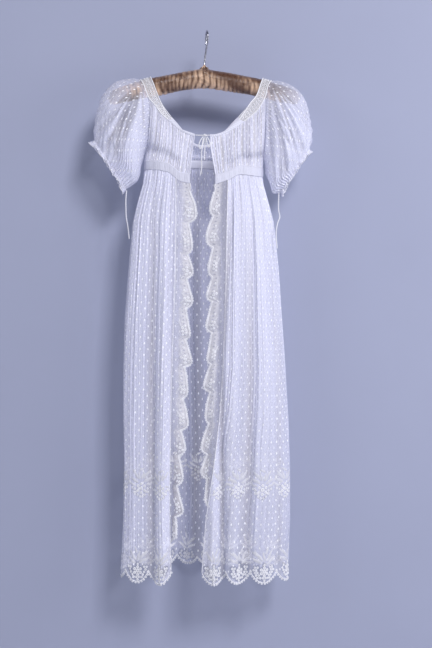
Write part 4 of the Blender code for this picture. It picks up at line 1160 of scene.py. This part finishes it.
LOBE_SPRIGS = (
    dotted(MID, (0, 0)) + dotted(SMALL, (5.2, 4), (5.2, -4), (-0.5, -7.2), (5, -11))
    + [leaf(13, 3.8, -34, -4.5, 7.5)] + dotted(BEAD, (0.5, 12.5), (-0.5, -14)),
    dotted(SMALL, (0, 0), (5.6, 1.5), (2.6, -5.4), (7.5, -6)) + dotted(BEAD, (1, -12), (6.5, -13))
    + [leaf(12, 3.6, 18, -5, -6.5), leaf(10, 3.4, -52, -3, 8)] + dotted(BEAD, (1.5, 17)),
    dotted(MID, (2.5, -4)) + dotted(SMALL, (3, 3.2), (-3.6, -1), (8.2, -9), (2.2, -11.6))
    + [leaf(12, 3.6, -12, -2.5, 11)] + dotted(BEAD, (-2, -17), (3.5, 20)))


def scallop_fill(width, drop):
    """Rings packed in rows inside one scallop, round a flower of rings: kept where their place is
    inside the half wave of the edge."""
    found = [(shape, x, y - 2) for shape, x, y in FLOWER]
    for k, y in enumerate((11.5, 6.2, 0.9, -4.4, -9.7, -15, -20.3)):
        for x in np.arange(-5, 6) * 6.0 + (3.0 if k % 2 else 0):
            inside = abs(x) < width / 2 - 2.4 and y > 2.8 - drop * max(0.0, np.cos(np.pi * x / width)) ** 0.7
            if inside and np.hypot(x, y + 2) > 13 and y < 13 - abs(x) * 0.25:
                found.append((SMALL, x, y))
    return found


def sprig(work, panel, part, z, parts, near=0.0055, sheer=0.38):
    """Lays each (shape, across mm, up mm) of a motif on the panel round one place, and notes the
    open middle of each ring and the cloth behind each leaf."""
    wide = run_of(panel.grid[panel.rows - 1])[-1]
    for (shape, cut, gap), x, y in parts:
        x, y = x / 1000, y / 1000
        at = part + (shape[..., 0] + x) / wide
        if at.min() < 0.004 or at.max() > 0.996:
            continue
        laid, higher = (on_cloth(panel, at, z + y + shape[..., 1], shape[..., 2] + more) for more in (0, 0.001))
        work.add(laid, cut, (higher - laid).mean((0, 1)), 0.0 if gap else sheer)
        if gap:
            panel.holes.append((part * wide + x, z + y, gap, wide, near))
        else:
            for along in shape[1:8, :, :2]:
                middle, reach = along.mean(0), size_of(np.ptp(along, axis=0))
                panel.holes.append((part * wide + x + middle[0], z + y + middle[1], reach / 2 - 0.0008, wide, 0))


def cut_holes(panel):
    """Marks the cloth inside each ring as cut away: 1 well inside its edge, 0 outside."""
    grid = panel.grid
    x = np.linspace(0, 1, grid.shape[1])[None]
    mark = np.zeros(grid.shape[:2])
    for at, up, radius, wide, near in panel.holes:
        away = np.hypot(x * wide - at, grid[..., 2] - up)
        if panel.tail and near:
            mark = np.maximum(mark, np.minimum(0.54, 0.5 + (near - away) / 0.004))
        mark = np.maximum(mark, 0.5 + (radius - away) / 0.0016)
    values = panel.piece.data.attributes.new("open_work", "FLOAT", "POINT")
    values.data.foreach_set("value", np.clip(mark, 0, 1).astype(np.float32).ravel())


def border(name, hem, up, seed, first, near, sheer):
    """The border, the scallops' filling and the bound hem of one panel. The border's flowers stand
    at the height up, one of them in line with first. near is how far the net is opened round each
    ring, and sheer is how much the leaves let through."""
    panel = PANELS[name]
    rng = np.random.default_rng(seed)
    work = Whitework()
    notches = panel.grid[panel.rows - 1]
    run, order = run_of(notches), np.argsort(notches[:, 0])

    def part_at(x):
        """How far across the panel its lower edge reaches a place x."""
        return float(np.interp(x, notches[order, 0], run[order]) / run[-1])

    pitch = BORDER_PITCH / run[-1]
    for part in np.arange(part_at(first) % pitch, 1, pitch):
        sprig(work, panel, part, up + rng.uniform(-0.0015, 0.0015), BORDER, near, sheer)
    for left, right in zip(hem[2][:-1], hem[2][1:]):
        middle = (left + right) / 2
        if notches[:, 0].min() < middle < notches[:, 0].max():
            parts = [(shape, x * (right - left) / 0.050, y) for shape, x, y in HEM_LEAVES]
            parts += scallop_fill((right - left) * 1000, hem[1] * 1000)
            sprig(work, panel, part_at(middle), hem[0], parts, sheer=sheer)
    # The bound scalloped edge, with a row of small ring picots that hang from it.
    rim = panel.grid[-1]
    run = run_of(rim)
    for at in np.arange(0.003, run[-1] - 0.002, HEM_PICOTS):
        centre, k = place_on(rim, run, at)
        off = unit(panel.out[-1, k])
        down = unit(np.cross(off, unit(rim[k + 1] - rim[k])))
        down = down * (-1 if down[2] > 0 else 1)
        work.ring(BEAD, centre + down * 0.0022, np.cross(down, off), -down, off)
    cut_holes(panel)
    work.sew(name + "_white_work")
    corded(name + "_bound_hem", even(rim + panel.out[-1] * 0.0003, 500), 0.0009, 0.0022)


for side, seed, first in (("left", 1, -0.137), ("right", 2, 0.053)):
    border("skirt_front_" + side + "_cloth", HEM_FRONT, up=-0.951, seed=seed, first=first, near=0.0034, sheer=0.38)
# Worked more closely on the back, which has one layer of cloth to show it up.
border("skirt_back_cloth", HEM_BACK, up=-0.926, seed=3, first=-0.023, near=0.0022, sheer=0.05)

for side, flip in (("left", 1), ("right", -1)):
    panel = PANELS["front_lace_" + side]
    work = Whitework()
    for k in range(13):
        z = LACE_FIRST[side] - LACE_PITCH * (k + 0.62)
        if z >= LACE_TURN[side][0] - 0.005:
            sprig(work, panel, 0.6, z, LOBE_SPRIGS[(k * 5 + flip) % 3])
    # Picots along the bound edge, down to where the strip turns back.
    rim = even(panel.grid[:, -1], 1400)
    run = run_of(rim)
    for at in np.arange(0.02, run[-1], EDGE_PICOTS):
        k = place_on(rim, run, at)[1]
        if rim[k, 2] < LACE_TURN[side][0] - 0.01:
            break
        along = unit(rim[min(k + 3, len(rim) - 1)] - rim[max(k - 3, 0)])
        forwards = (0, -1.0, 0)
        outwards = np.cross(along, forwards)
        outwards = outwards * np.sign(outwards[0]) * flip
        work.ring(BEAD, rim[k] + outwards * 0.0014, along, outwards, forwards)
    cut_holes(panel)
    work.sew("front_lace_" + side + "_white_work")


# ---- Wall, floor and light ----
# The gown hangs close in front of a plain lilac-grey wall, above a pale floor, in soft
# daylight from the upper right. Seen from behind, the wall lets the view through.
def painted(name, rough, scale, detail, dark, light):
    """Plain paint, slightly cloudy, between two shades."""
    finish = Finish(name, Roughness=rough)
    finish.paint(finish.noise(finish.node("TexCoord", out=3), scale, detail), dark, light)
    return finish


wall = painted("plain_wall", 0.95, 3.0, 3.0, (0.334, 0.358, 0.474), (0.364, 0.390, 0.510))
see_through = wall.node("MixShader", {
    0: wall.node("NewGeometry", out=6), 1: Signal(wall.shader.outputs[0]), 2: wall.node("BsdfTransparent")})
plug(see_through, wall.tree.nodes["Material Output"].inputs["Surface"])
floor = painted("pale_floor", 0.8, 5.0, 4.0, (0.60, 0.61, 0.66), (0.66, 0.67, 0.72))
across, up = np.meshgrid(np.linspace(-3.0, 3.0, 5), np.linspace(-1.55, 1.6, 5))
backdrop = surface("wall", points(across, 0.088, up), wall, points(across, up))
backdrop.visible_shadow = False
across, deep = np.meshgrid(np.linspace(-4.0, 4.0, 5), np.linspace(-4.0, 4.0, 5))
surface("floor", points(across, deep, -1.5), floor, points(across, deep))

world = bpy.data.worlds.new("studio_air")
world.use_nodes = True
world.node_tree.nodes["Background"].inputs["Color"].default_value = (0.80, 0.86, 1.0, 1)
world.node_tree.nodes["Background"].inputs["Strength"].default_value = 0.16
bpy.context.scene.world = world


def lamp(name, place, target, size, power, tint):
    """A soft square light that faces its target."""
    light = bpy.data.lights.new(name, "AREA")
    light.size, light.energy, light.color = size, power, tint
    hung = bpy.data.objects.new(name, light)
    ahead = unit(np.subtract(target, place, dtype=float))
    side = unit(np.cross(ahead, (0, 0, 1)))
    turned = np.eye(4)
    turned[:3] = np.stack([side, np.cross(side, ahead), -ahead, place], 1)
    hung.matrix_world = Matrix(turned.tolist())
    bpy.context.scene.collection.objects.link(hung)


lamp("window", (1.7, -3.65, 2.2), (0, 0, -0.55), 1.2, 181, (0.955, 0.945, 1.0))
lamp("right_fill", (1.75, -1.05, -0.35), (0.15, 0, -0.6), 0.9, 9.5, (0.94, 0.94, 1.0))
lamp("left_fill", (-2.2, -1.9, 0.1), (-0.1, 0, -0.6), 1.2, 12, (0.90, 0.91, 1.0))
lamp("back_fill", (0.8, 3.0, 1.4), (0, 0, -0.6), 1.5, 50, (0.94, 0.95, 1.0))
